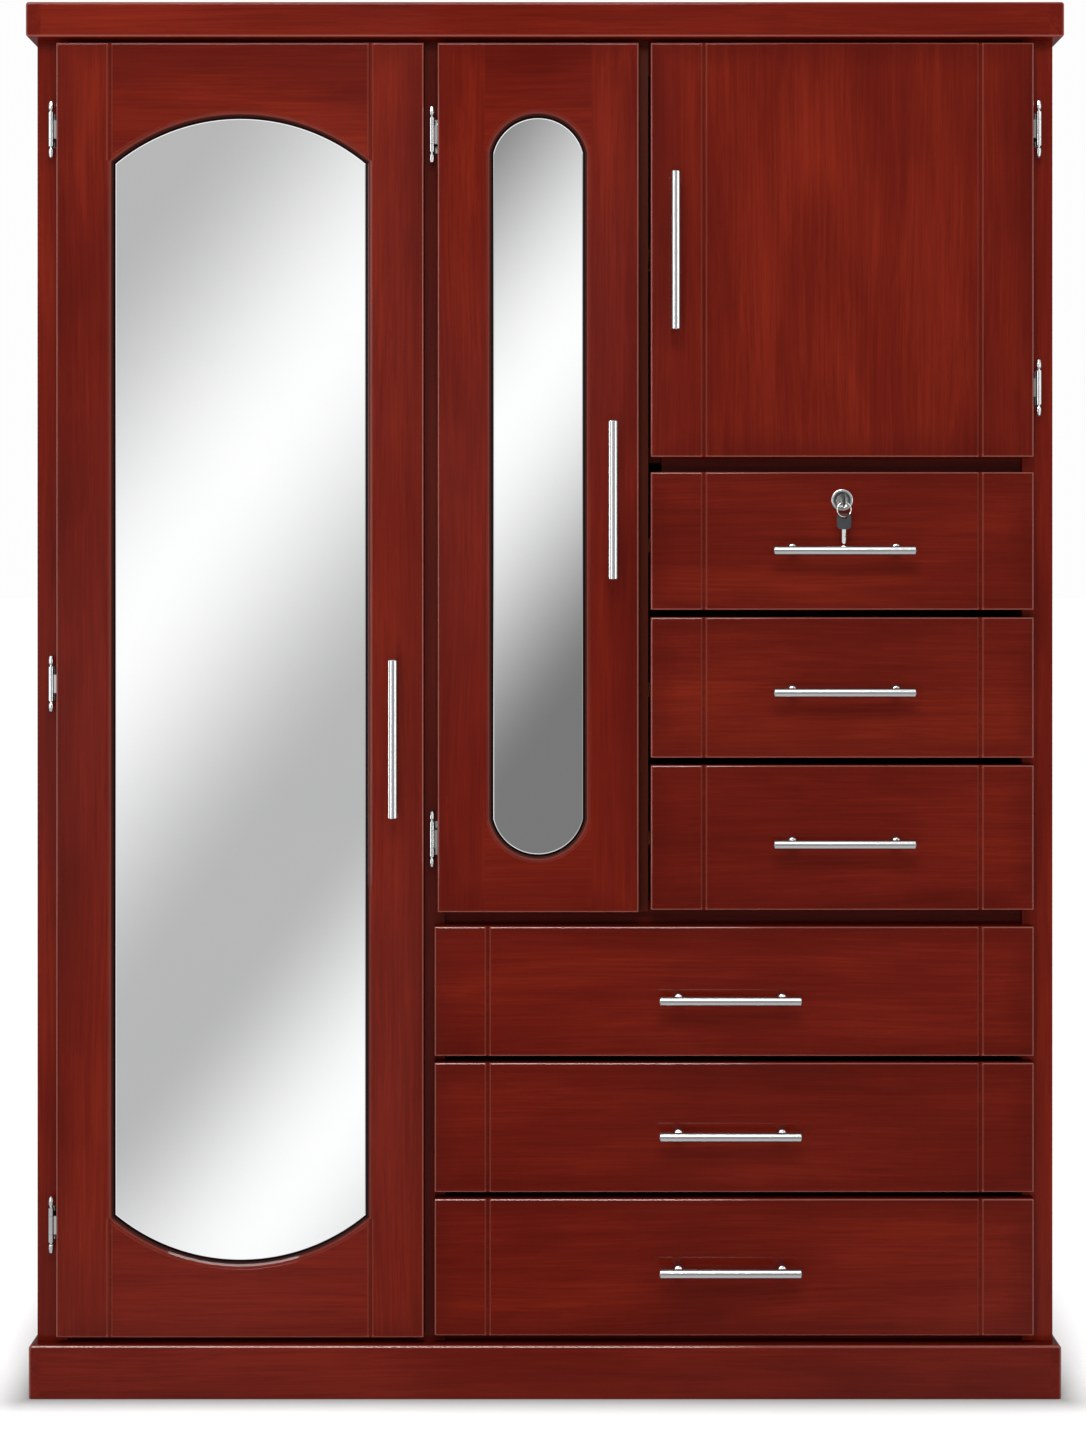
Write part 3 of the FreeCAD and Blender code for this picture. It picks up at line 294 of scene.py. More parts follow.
def timber(name, axis, number, tones, lacquer, board=None, side_axis=None, lipping=None):
    """Lacquered timber. side_axis is (test axis, centre, half width, other grain axis).

    lipping is how far back a front edge reaches that is stained and darkened with painted shade,
    for an inner board.
    """
    material, tree, shader, coords = new_material(name)
    shift = (0.37 * number, 0.73 * number, 1.9 * number)
    vector = along(tree, coords, axis, shift)
    if side_axis:
        test, centre, half, other = side_axis
        place = put(tree, "ShaderNodeSeparateXYZ", {0: coords}).outputs[test]
        away = maths(tree, "ABSOLUTE", maths(tree, "SUBTRACT", place, centre))
        beyond = maths(tree, "GREATER_THAN", away, half)
        mixed = put(tree, "ShaderNodeMix", {"Factor": beyond}, data_type="VECTOR")
        tree.links.new(vector, mixed.inputs[4])
        tree.links.new(along(tree, coords, other, shift), mixed.inputs[5])
        vector = mixed.outputs[1]
    grain = use_group(tree, timber_grain,
                      {"Vector": vector, "Dark": tones["dark"], "Mid": tones["mid"],
                       "Light": tones["light"], "Fibre": tones["fibre"],
                       "Streak": tones["streak"], "Cloud": tones["cloud"]})
    colour = grain["Color"]
    outline = None
    if board:
        low, high = board
        outline = use_group(tree, edge_toner,
                            {"Vector": coords, "Centre": (low + high) / 2,
                             "Half": (high - low) / 2, "Width": TONER_WIDTH})
        colour = blend_colours(tree, maths(tree, "MULTIPLY", outline["Edge"], tones["toner"]),
                               colour, tones["dark"])
    # painted shade: a dark strip down the board about a given x, where the gap between doors
    # lies in shade
    if tones.get("shaded"):
        centre, half = tones["shaded"]
        across = put(tree, "ShaderNodeSeparateXYZ", {0: coords}).outputs["X"]
        off = maths(tree, "ABSOLUTE", maths(tree, "SUBTRACT", across, centre))
        shade = remap(tree, off, half, half + 0.01, 0.54, 0.0)
        colour = blend_colours(tree, shade, colour, STRIP_PAINTED_SHADE)
    # stain with painted shade: an inner board's front edge goes much darker than the fronts,
    # where it is seen in the gaps
    if lipping:
        place = put(tree, "ShaderNodeSeparateXYZ", {0: coords}).outputs["Y"]
        edged = remap(tree, place, lipping - 0.002, lipping + 0.002, 0.92, 0.0)
        colour = blend_colours(tree, edged, colour, LIPPING_STAIN_AND_SHADE)
    if tones["painted_highlight"]:
        normal = next(n for n in tree.nodes if n.type == "TEX_COORD").outputs["Normal"]
        arris = use_group(tree, arris_mask, {"Normal": normal})["Arris"]
        gleam = maths(tree, "MULTIPLY", arris, tones["painted_highlight"])
        if outline:
            gleam = maths(tree, "MULTIPLY", arris, outline["Rim"])
            arris = maths(tree, "MULTIPLY", arris,
                          remap(tree, outline["Rim"], 0.0, 1.0, 0.50, 1.0))
            sunk = use_group(tree, stain_and_shade_in_recesses,
                             {"Vector": coords, "Face": face_y, "Depth": door_thickness})
            within = maths(tree, "SUBTRACT", 1.0, outline["Rim"])
            # stain with painted shade: grooves in a front go darker
            groove = maths(tree, "MULTIPLY", within, sunk["Recess"])
            colour = blend_colours(tree, maths(tree, "MULTIPLY", groove, tones["stain"]),
                                   colour, GROOVE_STAIN_AND_SHADE)
            deep = maths(tree, "MULTIPLY", within, sunk["Deep"])
        # painted highlight: rounded edges and mouldings go pale pink
        colour = blend_colours(tree, maths(tree, "MULTIPLY", arris, tones["painted_highlight"]), colour,
                               tones["arris"])
        # painted shade: the deep steps of a sunk moulding go near black
        if outline:
            colour = blend_colours(tree, maths(tree, "MULTIPLY", deep, 0.9), colour,
                                   MOULDING_PAINTED_SHADE)
        tree.links.new(remap(tree, gleam, 0.0, 1.0, lacquer["coat"], 1.0),
                       shader.inputs["Coat Weight"])
    marks = use_group(tree, handling_marks, {"Vector": coords, "Size": 6.0})
    tree.links.new(colour, shader.inputs["Base Color"])
    rough = maths(tree, "MULTIPLY_ADD", marks["Smear"], 0.08, lacquer["roughness"])
    tree.links.new(rough, shader.inputs["Roughness"])
    shader.inputs["IOR"].default_value = lacquer["ior"]
    shader.inputs["Specular IOR Level"].default_value = lacquer["sheen"]
    shader.inputs["Coat Weight"].default_value = lacquer["coat"]
    shader.inputs["Coat Roughness"].default_value = lacquer["coat_roughness"]
    shader.inputs["Coat IOR"].default_value = lacquer["coat_ior"]
    ripples = bump(tree, marks["Ripple"], 0.12, 0.0003)
    relief = put(tree, "ShaderNodeBump", {"Height": grain["Height"], "Strength": 0.15,
                                          "Distance": 0.00012, "Normal": ripples})
    tree.links.new(relief.outputs[0], shader.inputs["Normal"])
    return material


# painted shade for the strip in the gap by the left partition
STRIP_PAINTED_SHADE = (0.012, 0.0026, 0.0018, 1)
# stain with painted shade for the front edges of inner boards
LIPPING_STAIN_AND_SHADE = (0.026, 0.0020, 0.0008, 1)
# stain with painted shade for grooves in the fronts
GROOVE_STAIN_AND_SHADE = (0.012, 0.0012, 0.0008, 1)
# painted shade for the deep steps of mouldings
MOULDING_PAINTED_SHADE = (0.006, 0.0012, 0.0010, 1)
# In these tones, arris is the pale pink of a painted highlight on rounded edges
RED = {"dark": (0.036, 0.0024, 0.0014, 1), "mid": (0.079, 0.0058, 0.0028, 1),
       "light": (0.140, 0.0125, 0.0052, 1), "fibre": 0.62, "streak": 0.32, "cloud": 0.80,
       "toner": 0.35, "painted_highlight": 0.60, "stain": 0.12, "arris": (0.24, 0.060, 0.042, 1)}
# painted shade: a darker copy of RED for the face rails, set back in the gaps behind the fronts
FRAME_IN_PAINTED_SHADE = dict(RED, dark=(0.018, 0.0015, 0.0010, 1), mid=(0.040, 0.0032, 0.0018, 1),
             light=(0.066, 0.0060, 0.0030, 1))
INNER = {"dark": (0.060, 0.016, 0.008, 1), "mid": (0.140, 0.042, 0.020, 1),
         "light": (0.210, 0.070, 0.034, 1), "fibre": 0.7, "streak": 0.8, "cloud": 0.6,
         "toner": 0.0, "painted_highlight": 0.0}
PLY = {"dark": (0.100, 0.044, 0.022, 1), "mid": (0.180, 0.088, 0.045, 1),
       "light": (0.250, 0.130, 0.070, 1), "fibre": 0.8, "streak": 1.0, "cloud": 0.8,
       "toner": 0.0, "painted_highlight": 0.0}
BOARD_SPREAD = 0.04           # how far one board strays from the next in depth and hue
GLOSS = {"roughness": 0.34, "ior": 1.45, "sheen": 0.0, "coat": 0.16,
         "coat_roughness": 0.05, "coat_ior": 1.5}
SATIN = {"roughness": 0.48, "ior": 1.45, "sheen": 0.03, "coat": 0.0,
         "coat_roughness": 0.3, "coat_ior": 1.45}
MATTE = {"roughness": 0.7, "ior": 1.45, "sheen": 0.25, "coat": 0.0,
         "coat_roughness": 0.4, "coat_ior": 1.4}


def varied(tones, number):
    """The same stain as one board takes it: no two are quite alike."""
    draw = random.Random(100 + number)
    depth = 1.0 + draw.uniform(-BOARD_SPREAD, BOARD_SPREAD)
    brown = depth * (1.0 + draw.uniform(-BOARD_SPREAD, BOARD_SPREAD))
    taken = {}
    for key in ("dark", "mid", "light"):
        red, green, blue = tones[key][:3]
        taken[key] = (red * depth, green * brown, blue * brown, 1.0)
    return dict(tones, **taken)


def dress(node, material):
    """Give every material slot of a node the same finish."""
    slots = nodes[node].material_slots
    if not slots:
        nodes[node].data.materials.append(material)
    for slot in slots:
        slot.link = "OBJECT"
        slot.material = material


def dress_timber():
    upright = ["side_panel_left", "side_panel_right", "face_stiles", "left_door_stiles",
               "middle_door_stiles", "right_door_stiles", "right_door_panel"]
    level = ["face_rails", "top_board", "left_door_rails", "middle_door_rails"]
    level += ["drawer_%d_front" % number for number in range(1, 7)]
    toned = {"left_door_stiles": left_box, "left_door_rails": left_box,
             "middle_door_stiles": middle_box, "middle_door_rails": middle_box,
             "right_door_stiles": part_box("right_door_stiles"),
             "right_door_panel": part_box("right_door_stiles")}
    for number in range(1, 7):
        toned["drawer_%d_front" % number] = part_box("drawer_%d_front" % number)
    count = 0
    for axis, names in (("Z", upright), ("X", level)):
        for node in names:
            count += 1
            # painted shade: the face rails take the darker copy of the mahogany
            tones = FRAME_IN_PAINTED_SHADE if node == "face_rails" else RED
            # painted shade: a dark strip down the face stiles in the gap between the left and
            # middle doors
            if node == "face_stiles":
                tones = dict(RED, shaded=(left_partition, STRIP_HALF))
            # a weaker painted highlight on the side panels
            if node.startswith("side_panel"):
                tones = dict(RED, painted_highlight=0.12)
            dress(node, timber(node + " lacquered mahogany", axis, count,
                               varied(tones, count), GLOSS, toned.get(node)))
    for node, turn in (("plinth", PLINTH_TURN), ("cornice", CORNICE_TURN)):
        count += 1
        low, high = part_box(node)
        sides = ("X", (low.x + high.x) / 2, (high.x - low.x) / 2 - turn, "Y")
        dress(node, timber(node + " lacquered mahogany", "X", count, varied(RED, count),
                           GLOSS, None, sides))
    for axis, names in (("Z", ["partitions"]), ("X", ["case_decks", "shelves"]),
                        ("Y", ["drawer_runners"])):
        for node in names:
            count += 1
            lipping = face_y + LIPPING if node in ("partitions", "case_decks") else None
            dress(node, timber(node + " sealed hardwood", axis, count, INNER, SATIN,
                               lipping=lipping))
    for number in range(1, 7):
        count += 1
        node = "drawer_%d_box" % number
        low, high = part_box(node)
        sides = ("X", (low.x + high.x) / 2, (high.x - low.x) / 2 - DRAWER_SIDE, "Y")
        dress(node, timber(node + " sealed hardwood", "X", count, INNER, SATIN, None, sides))
    dress("back_panel", timber("back plywood", "Z", 40, PLY, MATTE))
    backing = timber("mirror backing board", "X", 41, PLY, MATTE)
    dress("left_door_mirror_back", backing)
    dress("middle_door_mirror_back", backing)


METAL_MARKS = 30.0            # how fine the handling marks are on metal


def metal(name, colour, roughness, spread, axis=None):
    """Bare or plated metal, brushed along an axis or polished with faint marks."""
    material, tree, shader, coords = new_material(name)
    marks = use_group(tree, handling_marks, {"Vector": coords, "Size": METAL_MARKS})
    shader.inputs["Metallic"].default_value = 1.0
    deep = tuple(channel * 0.86 for channel in colour[:3]) + (1.0,)
    if axis:
        lines = use_group(tree, brushing, {"Vector": along(tree, coords, axis, (0, 0, 0))})
        tint = blend_colours(tree, remap(tree, lines["Lines"], 0.3, 0.7), deep, colour)
        rough = remap(tree, lines["Lines"], 0.3, 0.7, roughness - spread, roughness + spread)
        tree.links.new(bump(tree, lines["Lines"], 0.008, 0.00001), shader.inputs["Normal"])
    else:
        tint = blend_colours(tree, marks["Smear"], colour, deep)
        rough = remap(tree, marks["Smear"], 0.0, 1.0, roughness, roughness + spread)
        tree.links.new(bump(tree, marks["Ripple"], 0.05, 0.0001), shader.inputs["Normal"])
    tree.links.new(tint, shader.inputs["Base Color"])
    tree.links.new(rough, shader.inputs["Roughness"])
    return material


def turned_nickel(name, middle):
    """Plated metal with the fine rings that turning leaves round an axis along Y."""
    material, tree, shader, coords = new_material(name)
    offset = put(tree, "ShaderNodeVectorMath", {0: coords, 1: middle}, operation="SUBTRACT")
    flat = put(tree, "ShaderNodeVectorMath", {0: offset.outputs[0], 1: (1.0, 0.0, 1.0)},
               operation="MULTIPLY").outputs[0]
    reach = put(tree, "ShaderNodeVectorMath", {0: flat}, operation="LENGTH").outputs["Value"]
    rings = maths(tree, "SINE", maths(tree, "MULTIPLY", reach, 5200.0))
    marks = use_group(tree, handling_marks, {"Vector": coords, "Size": 45.0})
    shader.inputs["Metallic"].default_value = 1.0
    groove = remap(tree, maths(tree, "ABSOLUTE", maths(tree, "SUBTRACT", reach, 0.0103)),
                   0.0003, 0.0007, 1.0, 0.0, True)
    tint = blend_colours(tree, marks["Smear"], (0.55, 0.55, 0.54, 1), (0.46, 0.46, 0.45, 1))
    tint = blend_colours(tree, groove, tint, (0.06, 0.06, 0.06, 1))
    tree.links.new(tint, shader.inputs["Base Color"])
    tree.links.new(remap(tree, marks["Smear"], 0.0, 1.0, 0.20, 0.28),
                   shader.inputs["Roughness"])
    tree.links.new(bump(tree, rings, 0.2, 0.00003), shader.inputs["Normal"])
    return material


def plastic(name, colour, roughness, scale):
    """Moulded plastic with a fine grained skin."""
    material, tree, shader, coords = new_material(name)
    skin = noise(tree, coords, scale, 3.0, 0.6)
    worn = tuple(channel * 1.6 + 0.002 for channel in colour[:3]) + (1.0,)
    shader.inputs["Specular IOR Level"].default_value = 0.3
    marks = use_group(tree, handling_marks, {"Vector": coords, "Size": 60.0})
    tree.links.new(blend_colours(tree, marks["Smear"], colour, worn),
                   shader.inputs["Base Color"])
    tree.links.new(remap(tree, skin, 0.3, 0.7, roughness - 0.06, roughness + 0.1),
                   shader.inputs["Roughness"])
    tree.links.new(bump(tree, skin, 0.4, 0.00008), shader.inputs["Normal"])
    return material


def mirror_finish():
    """Silvered glass with barely visible wiping marks, and a near-black band of painted shade at
    its edge.
    """
    material, tree, shader, coords = new_material("silvered glass")
    marks = use_group(tree, handling_marks, {"Vector": coords, "Size": 5.0})
    shader.inputs["Metallic"].default_value = 1.0
    tint = blend_colours(tree, marks["Smear"], (0.95, 0.955, 0.955, 1), (0.935, 0.94, 0.945, 1))
    # painted shade: near black on the band along the lip and on the glass's rim and back
    sealed = put(tree, "ShaderNodeAttribute", attribute_name="painted_shade_band").outputs["Fac"]
    tint = blend_colours(tree, sealed, tint, (0.012, 0.008, 0.008, 1))
    tree.links.new(tint, shader.inputs["Base Color"])
    tree.links.new(remap(tree, marks["Smear"], 0.0, 1.0, 0.012, 0.03),
                   shader.inputs["Roughness"])
    return material


bar_level = metal("brushed bar, level", (0.52, 0.52, 0.52, 1), 0.20, 0.01, "X")
bar_upright = metal("brushed bar, upright", (0.52, 0.52, 0.52, 1), 0.18, 0.01, "Z")
polished = metal("polished hinge steel", (0.52, 0.52, 0.52, 1), 0.12, 0.06)
chrome = metal("chromed tube", (0.78, 0.79, 0.80, 1), 0.06, 0.08)
zinc = metal("bright zinc", (0.60, 0.61, 0.63, 1), 0.28, 0.12)
lock_low, lock_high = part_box("lock_housing")
nickel = turned_nickel("turned nickel", (lock_low + lock_high) / 2)
key_nickel = metal("key nickel", (0.70, 0.69, 0.67, 1), 0.2, 0.12)
catch_brown = plastic("catch plastic", (0.055, 0.030, 0.022, 1), 0.5, 1500.0)
bow_black = plastic("key bow plastic", (0.008, 0.009, 0.010, 1), 0.36, 2400.0)
mirror_glass = mirror_finish()


def dress_fittings():
    for number in range(1, 7):
        dress("drawer_%d_handle" % number, bar_level)
    for door in ("left_door", "middle_door", "right_door"):
        dress(door + "_handle", bar_upright)
        dress(door + "_hinge_leaves", polished)
    for node in ("hinge_frame_leaves", "hinge_pins"):
        dress(node, polished)
    dress("hinge_screws", zinc)
    dress("hanging_rail", chrome)
    dress("rail_sockets", chrome)
    dress("shelf_pins", zinc)
    dress("door_catches", catch_brown)
    dress("lock_housing", nickel)
    dress("lock_plug", nickel)
    for node in ("key_blade", "spare_key_blade", "key_ring"):
        dress(node, key_nickel)
    dress("key_bow", bow_black)
    dress("spare_key_bow", bow_black)


# ---- mirrors -------------------------------------------------------------------
ARC_STEPS = 56


def arched_ring(door, grow, depth):
    """Points round an arched outline, grown all round, at a depth behind the door's face."""
    middle_x, half, low, high, rise = door
    radius = (half ** 2 + rise ** 2) / (2 * rise)
    top_centre = high - radius
    bottom_centre = low + radius
    radius += grow
    swing = math.asin(min((half + grow) / radius, 1.0))
    points = []
    for centre, sign in ((top_centre, 1), (bottom_centre, -1)):
        for step in range(ARC_STEPS + 1):
            angle = sign * swing * (2 * step / ARC_STEPS - 1)
            points.append((middle_x + radius * math.sin(angle), face_y + depth,
                           centre + sign * radius * math.cos(angle)))
    return points


def mirror_plate(name, node, door, body):
    """Mirror glass: a near-black band of painted shade under and along the lip, a narrow ground
    bevel, a flat middle.
    """
    rings = [(GLASS_SEAT, GLASS_BACK), (GLASS_SEAT, BAND_FACE),
             (SHADE_BAND_EDGE, BAND_FACE), (FLAT_EDGE, FLAT_FACE)]
    mesh = bmesh.new()
    black = mesh.loops.layers.float.new("painted_shade_band")
    loops = []
    for grow, depth in rings:
        loops.append([mesh.verts.new(p) for p in arched_ring(door, grow * MM, depth * MM)])
    count = len(loops[0])
    faces = {}
    for ring, (outer, inner) in enumerate(zip(loops, loops[1:])):
        for i in range(count):
            j = (i + 1) % count
            faces[mesh.faces.new((outer[i], outer[j], inner[j], inner[i]))] = ring < 2
    faces[mesh.faces.new(loops[-1])] = False
    faces[mesh.faces.new(list(reversed(loops[0])))] = True
    for face, dark in faces.items():
        for loop in face.loops:
            loop[black] = 1.0 if dark else 0.0
    bmesh.ops.recalc_face_normals(mesh, faces=mesh.faces)
    return finish_piece(name, mesh, mirror_glass, body, "mirror_glass", node)


def finish_piece(name, mesh, material, body, slot, *replaced):
    """Turn a bmesh into an object that rides on a body."""
    data = bpy.data.meshes.new(name)
    mesh.to_mesh(data)
    mesh.free()
    return adopt(name, data, material, body, slot, *replaced)


def adopt(name, data, material, body, slot, *replaced):
    data.materials.clear()
    data.materials.append(material)
    piece = bpy.data.objects.new(name, data)
    bpy.context.scene.collection.objects.link(piece)
    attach(piece, body)
    if replaced:
        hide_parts(*replaced)
    return piece


def opening_of(door, rise):
    """The visible outline of a door's mirror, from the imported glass."""
    low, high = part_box(door + "_mirror")
    seat = GLASS_SEAT * MM
    return ((low.x + high.x) / 2, (high.x - low.x) / 2 - seat, low.z + seat, high.z - seat, rise)


# ---- screws, pins and plates ---------------------------------------------------
def node_socket(tree, name, in_out, kind, value=None):
    socket = tree.interface.new_socket(name, in_out=in_out, socket_type=kind)
    if value is not None:
        socket.default_value = value
    return socket


def fastener_tree():
    """Domed heads on every point, each turned at random about its own axis.

    The head stands along local Z with its foot at the point. A cross is cut in it.
    """
    tree = bpy.data.node_groups.new("fastener heads", "GeometryNodeTree")
    node_socket(tree, "Geometry", "INPUT", "NodeSocketGeometry")
    node_socket(tree, "Head Radius", "INPUT", FLOAT, 0.004)
    node_socket(tree, "Head Height", "INPUT", FLOAT, 0.002)
    node_socket(tree, "Recess Width", "INPUT", FLOAT, 0.0008)
    node_socket(tree, "Seed", "INPUT", "NodeSocketInt", 1)
    node_socket(tree, "Finish", "INPUT", "NodeSocketMaterial")
    node_socket(tree, "Geometry", "OUTPUT", "NodeSocketGeometry")
    given = tree.nodes.new("NodeGroupInput").outputs
    result = tree.nodes.new("NodeGroupOutput")
    radius, height = given["Head Radius"], given["Head Height"]
    rim = maths(tree, "MULTIPLY", height, 0.42)
    drum = put(tree, "GeometryNodeMeshCylinder",
               {"Vertices": 24, "Radius": radius, "Depth": rim}).outputs["Mesh"]
    lift = put(tree, "ShaderNodeCombineXYZ", {"Z": maths(tree, "MULTIPLY", rim, 0.5)})
    head = put(tree, "GeometryNodeTransform", {"Geometry": drum, "Translation": lift.outputs[0]})
    head = head.outputs["Geometry"]
    normal = tree.nodes.new("GeometryNodeInputNormal").outputs[0]
    upward = put(tree, "ShaderNodeSeparateXYZ", {0: normal}).outputs["Z"]
    top = put(tree, "FunctionNodeCompare", {0: upward, 1: 0.9}, operation="GREATER_THAN",
              data_type="FLOAT").outputs[0]
    for share, narrow in ((0.34, 0.80), (0.24, 0.55)):
        grown = put(tree, "GeometryNodeExtrudeMesh",
                    {"Mesh": head, "Selection": top,
                     "Offset Scale": maths(tree, "MULTIPLY", height, share)}, mode="FACES")
        grown.inputs["Individual"].default_value = False
        top = grown.outputs["Top"]
        head = put(tree, "GeometryNodeScaleElements",
                   {"Geometry": grown.outputs["Mesh"], "Selection": top,
                    "Scale": narrow}).outputs["Geometry"]
    long = maths(tree, "MULTIPLY", radius, 1.15)
    cutters = []
    for sizes in ((long, given["Recess Width"], height), (given["Recess Width"], long, height)):
        size = put(tree, "ShaderNodeCombineXYZ", dict(zip("XYZ", sizes))).outputs[0]
        bar = put(tree, "GeometryNodeMeshCube", {"Size": size}).outputs["Mesh"]
        up = put(tree, "ShaderNodeCombineXYZ", {"Z": height}).outputs[0]
        cutters.append(put(tree, "GeometryNodeTransform",
                           {"Geometry": bar, "Translation": up}).outputs["Geometry"])
    cut = put(tree, "GeometryNodeMeshBoolean", operation="DIFFERENCE")
    tree.links.new(head, cut.inputs["Mesh 1"])
    for cutter in cutters:
        tree.links.new(cutter, cut.inputs["Mesh 2"])
    facing = put(tree, "GeometryNodeInputNamedAttribute", {"Name": "facing"},
                 data_type="FLOAT_VECTOR").outputs[0]
    aligned = put(tree, "FunctionNodeAlignRotationToVector", {"Vector": facing}, axis="Z")
    spin = put(tree, "FunctionNodeRandomValue", {"Seed": given["Seed"]}, data_type="FLOAT")
    spin.inputs[3].default_value = math.pi
    turn = put(tree, "ShaderNodeCombineXYZ", {"Z": spin.outputs[1]}).outputs[0]
    turned = put(tree, "FunctionNodeRotateRotation",
                 {"Rotation": aligned.outputs[0], "Rotate By": turn}, rotation_space="LOCAL")
    heads = put(tree, "GeometryNodeInstanceOnPoints",
                {"Points": given["Geometry"], "Instance": cut.outputs["Mesh"],
                 "Rotation": turned.outputs[0]}).outputs["Instances"]
    real = put(tree, "GeometryNodeRealizeInstances", {"Geometry": heads}).outputs["Geometry"]
    shaded = put(tree, "GeometryNodeSetShadeSmooth", {"Geometry": real, "Shade Smooth": False})
    dressed = put(tree, "GeometryNodeSetMaterial", {"Geometry": shaded.outputs["Geometry"],
                                                    "Material": given["Finish"]})
    tree.links.new(dressed.outputs["Geometry"], result.inputs[0])
    return tree


def fasteners(name, body, slot, material, places, radius, height, recess, seed):
    """Fastener heads at (point, direction) places, as one plain mesh on a body."""
    data = bpy.data.meshes.new(name + "_points")
    data.from_pydata([tuple(point) for point, _ in places], [], [])
    facing = data.attributes.new("facing", "FLOAT_VECTOR", "POINT")
    for index, (_, direction) in enumerate(places):
        facing.data[index].vector = direction
    seat = bpy.data.objects.new(name + "_points", data)
    bpy.context.scene.collection.objects.link(seat)
    modifier = seat.modifiers.new("heads", "NODES")
    modifier.node_group = fastener_heads
    values = {"Head Radius": radius, "Head Height": height, "Recess Width": recess,
              "Seed": seed, "Finish": material}
    for socket in fastener_heads.interface.items_tree:
        if socket.in_out == "INPUT" and socket.name in values:
            modifier[socket.identifier] = values[socket.name]
    plain = bpy.data.meshes.new_from_object(
        seat.evaluated_get(bpy.context.evaluated_depsgraph_get()))
    plain.name = name
    seat.modifiers.clear()
    bpy.data.objects.remove(seat)
    return adopt(name, plain, material, body, slot)


def back_of(node, x, z):
    """Where a straight line from behind first meets a node, at a place on its front."""
    hit, point, _, _ = nodes[node].ray_cast(Vector((x, 0.12, z)), Vector((0, -1, 0)))
    return point.y if hit else None


def posts_of(node, spacing, level, rise=0.0):
    """Where the two posts of a handle stand."""
    low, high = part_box(node)
    x, z = (low.x + high.x) / 2, (low.z + high.z) / 2
    if level:
        return [(x + side * spacing / 2, z + rise) for side in (-1, 1)]
    return [(x, z + side * spacing / 2) for side in (-1, 1)]


BACK = Vector((0, 1, 0))
HANDLE_SCREW = (4.2 * MM, 2.2 * MM, 0.9 * MM)     # head radius, head height, slot width
BACK_PIN = (2.6 * MM, 0.9 * MM, 0.4 * MM)
SOCKET_SCREW = (3.0 * MM, 1.0 * MM, 0.7 * MM)


def handle_screws():
    """Pan heads inside each door and drawer, behind the posts of its handle."""
    for door in ("left_door", "middle_door", "right_door"):
        places = [((x, back_of(door + "_stiles", x, z), z), BACK)
                  for x, z in posts_of(door + "_handle", DOOR_POSTS, False)]
        fasteners(door + "_handle_screws", door, "zinc_pins", zinc, places,
                  *HANDLE_SCREW, 3)
    for number in range(1, 7):
        drawer = "drawer_%d" % number
        places = [((x, back_of(drawer + "_front", x, z), z), BACK)
                  for x, z in posts_of(drawer + "_handle", DRAWER_POSTS, True,
                                       DRAWER_POST_RISE)]
        fasteners(drawer + "_handle_screws", drawer, "zinc_pins", zinc, places,
                  *HANDLE_SCREW, 10 + number)


def back_pins():
    """Small pins that hold the back board to the case, round its edge and across it."""
    low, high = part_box("back_panel")
    inset, pitch = 0.009, 0.11
    places = []
    for x in (low.x + inset, high.x - inset, left_partition, right_partition):
        count = int((high.z - low.z - 2 * inset) / pitch)
        for step in range(count + 1):
            z = low.z + inset + (high.z - low.z - 2 * inset) * step / count
            if x == right_partition and z < PINS_ABOVE_DECK:
                continue
            places.append(((x, high.y - 0.0001, z), BACK))
    for z in (low.z + inset, high.z - inset):
        count = int((high.x - low.x - 2 * inset) / pitch)
        for step in range(1, count):
            x = low.x + inset + (high.x - low.x - 2 * inset) * step / count
            places.append(((x, high.y - 0.0001, z), BACK))
    fasteners("back_board_pins", "carcass", "zinc_pins", zinc, places, *BACK_PIN, 31)


def islands(node):
    """Boxes round the separate parts of a node."""
    mesh = bmesh.new()
    mesh.from_mesh(nodes[node].data)
    bmesh.ops.remove_doubles(mesh, verts=mesh.verts, dist=1e-6)
    left, found = set(mesh.verts), []
    while left:
        stack = [left.pop()]
        points = []
        while stack:
            vert = stack.pop()
            points.append(vert.co.copy())
            for edge in vert.link_edges:
                other = edge.other_vert(vert)
                if other in left:
                    left.remove(other)
                    stack.append(other)
        found.append((Vector(min(p[i] for p in points) for i in range(3)),
                      Vector(max(p[i] for p in points) for i in range(3))))
    mesh.free()
    return sorted(found, key=lambda pair: tuple(pair[0]))


def strike_plates():
    """A rounded steel plate on each door opposite its magnet."""
    for (low, high), door in zip(islands("door_catches"),
                                 ("left_door", "middle_door", "right_door")):
        x, z = (low.x + high.x) / 2, (low.z + high.z) / 2
        half_x, half_z, thick = 0.0190, 0.0060, 0.0003
        back = face_y + door_thickness
        mesh = bmesh.new()
        outline = []
        for corner, (sx, sz) in enumerate(((1, 1), (-1, 1), (-1, -1), (1, -1))):
            for step in range(7):
                angle = math.radians(90 * corner + 15 * step)
                outline.append((x + sx * (half_x - 0.003) + 0.003 * math.cos(angle),
                                z + sz * (half_z - 0.003) + 0.003 * math.sin(angle)))
        under = [mesh.verts.new((px, back, pz)) for px, pz in outline]
        over = [mesh.verts.new((px, back + thick, pz)) for px, pz in outline]
        mesh.faces.new(under)
        mesh.faces.new(list(reversed(over)))
        for i, vert in enumerate(under):
            j = (i + 1) % len(under)
            mesh.faces.new((vert, under[j], over[j], over[i]))
        bmesh.ops.recalc_face_normals(mesh, faces=mesh.faces)
        finish_piece(door + "_strike_plate", mesh, zinc, door, "zinc_pins")


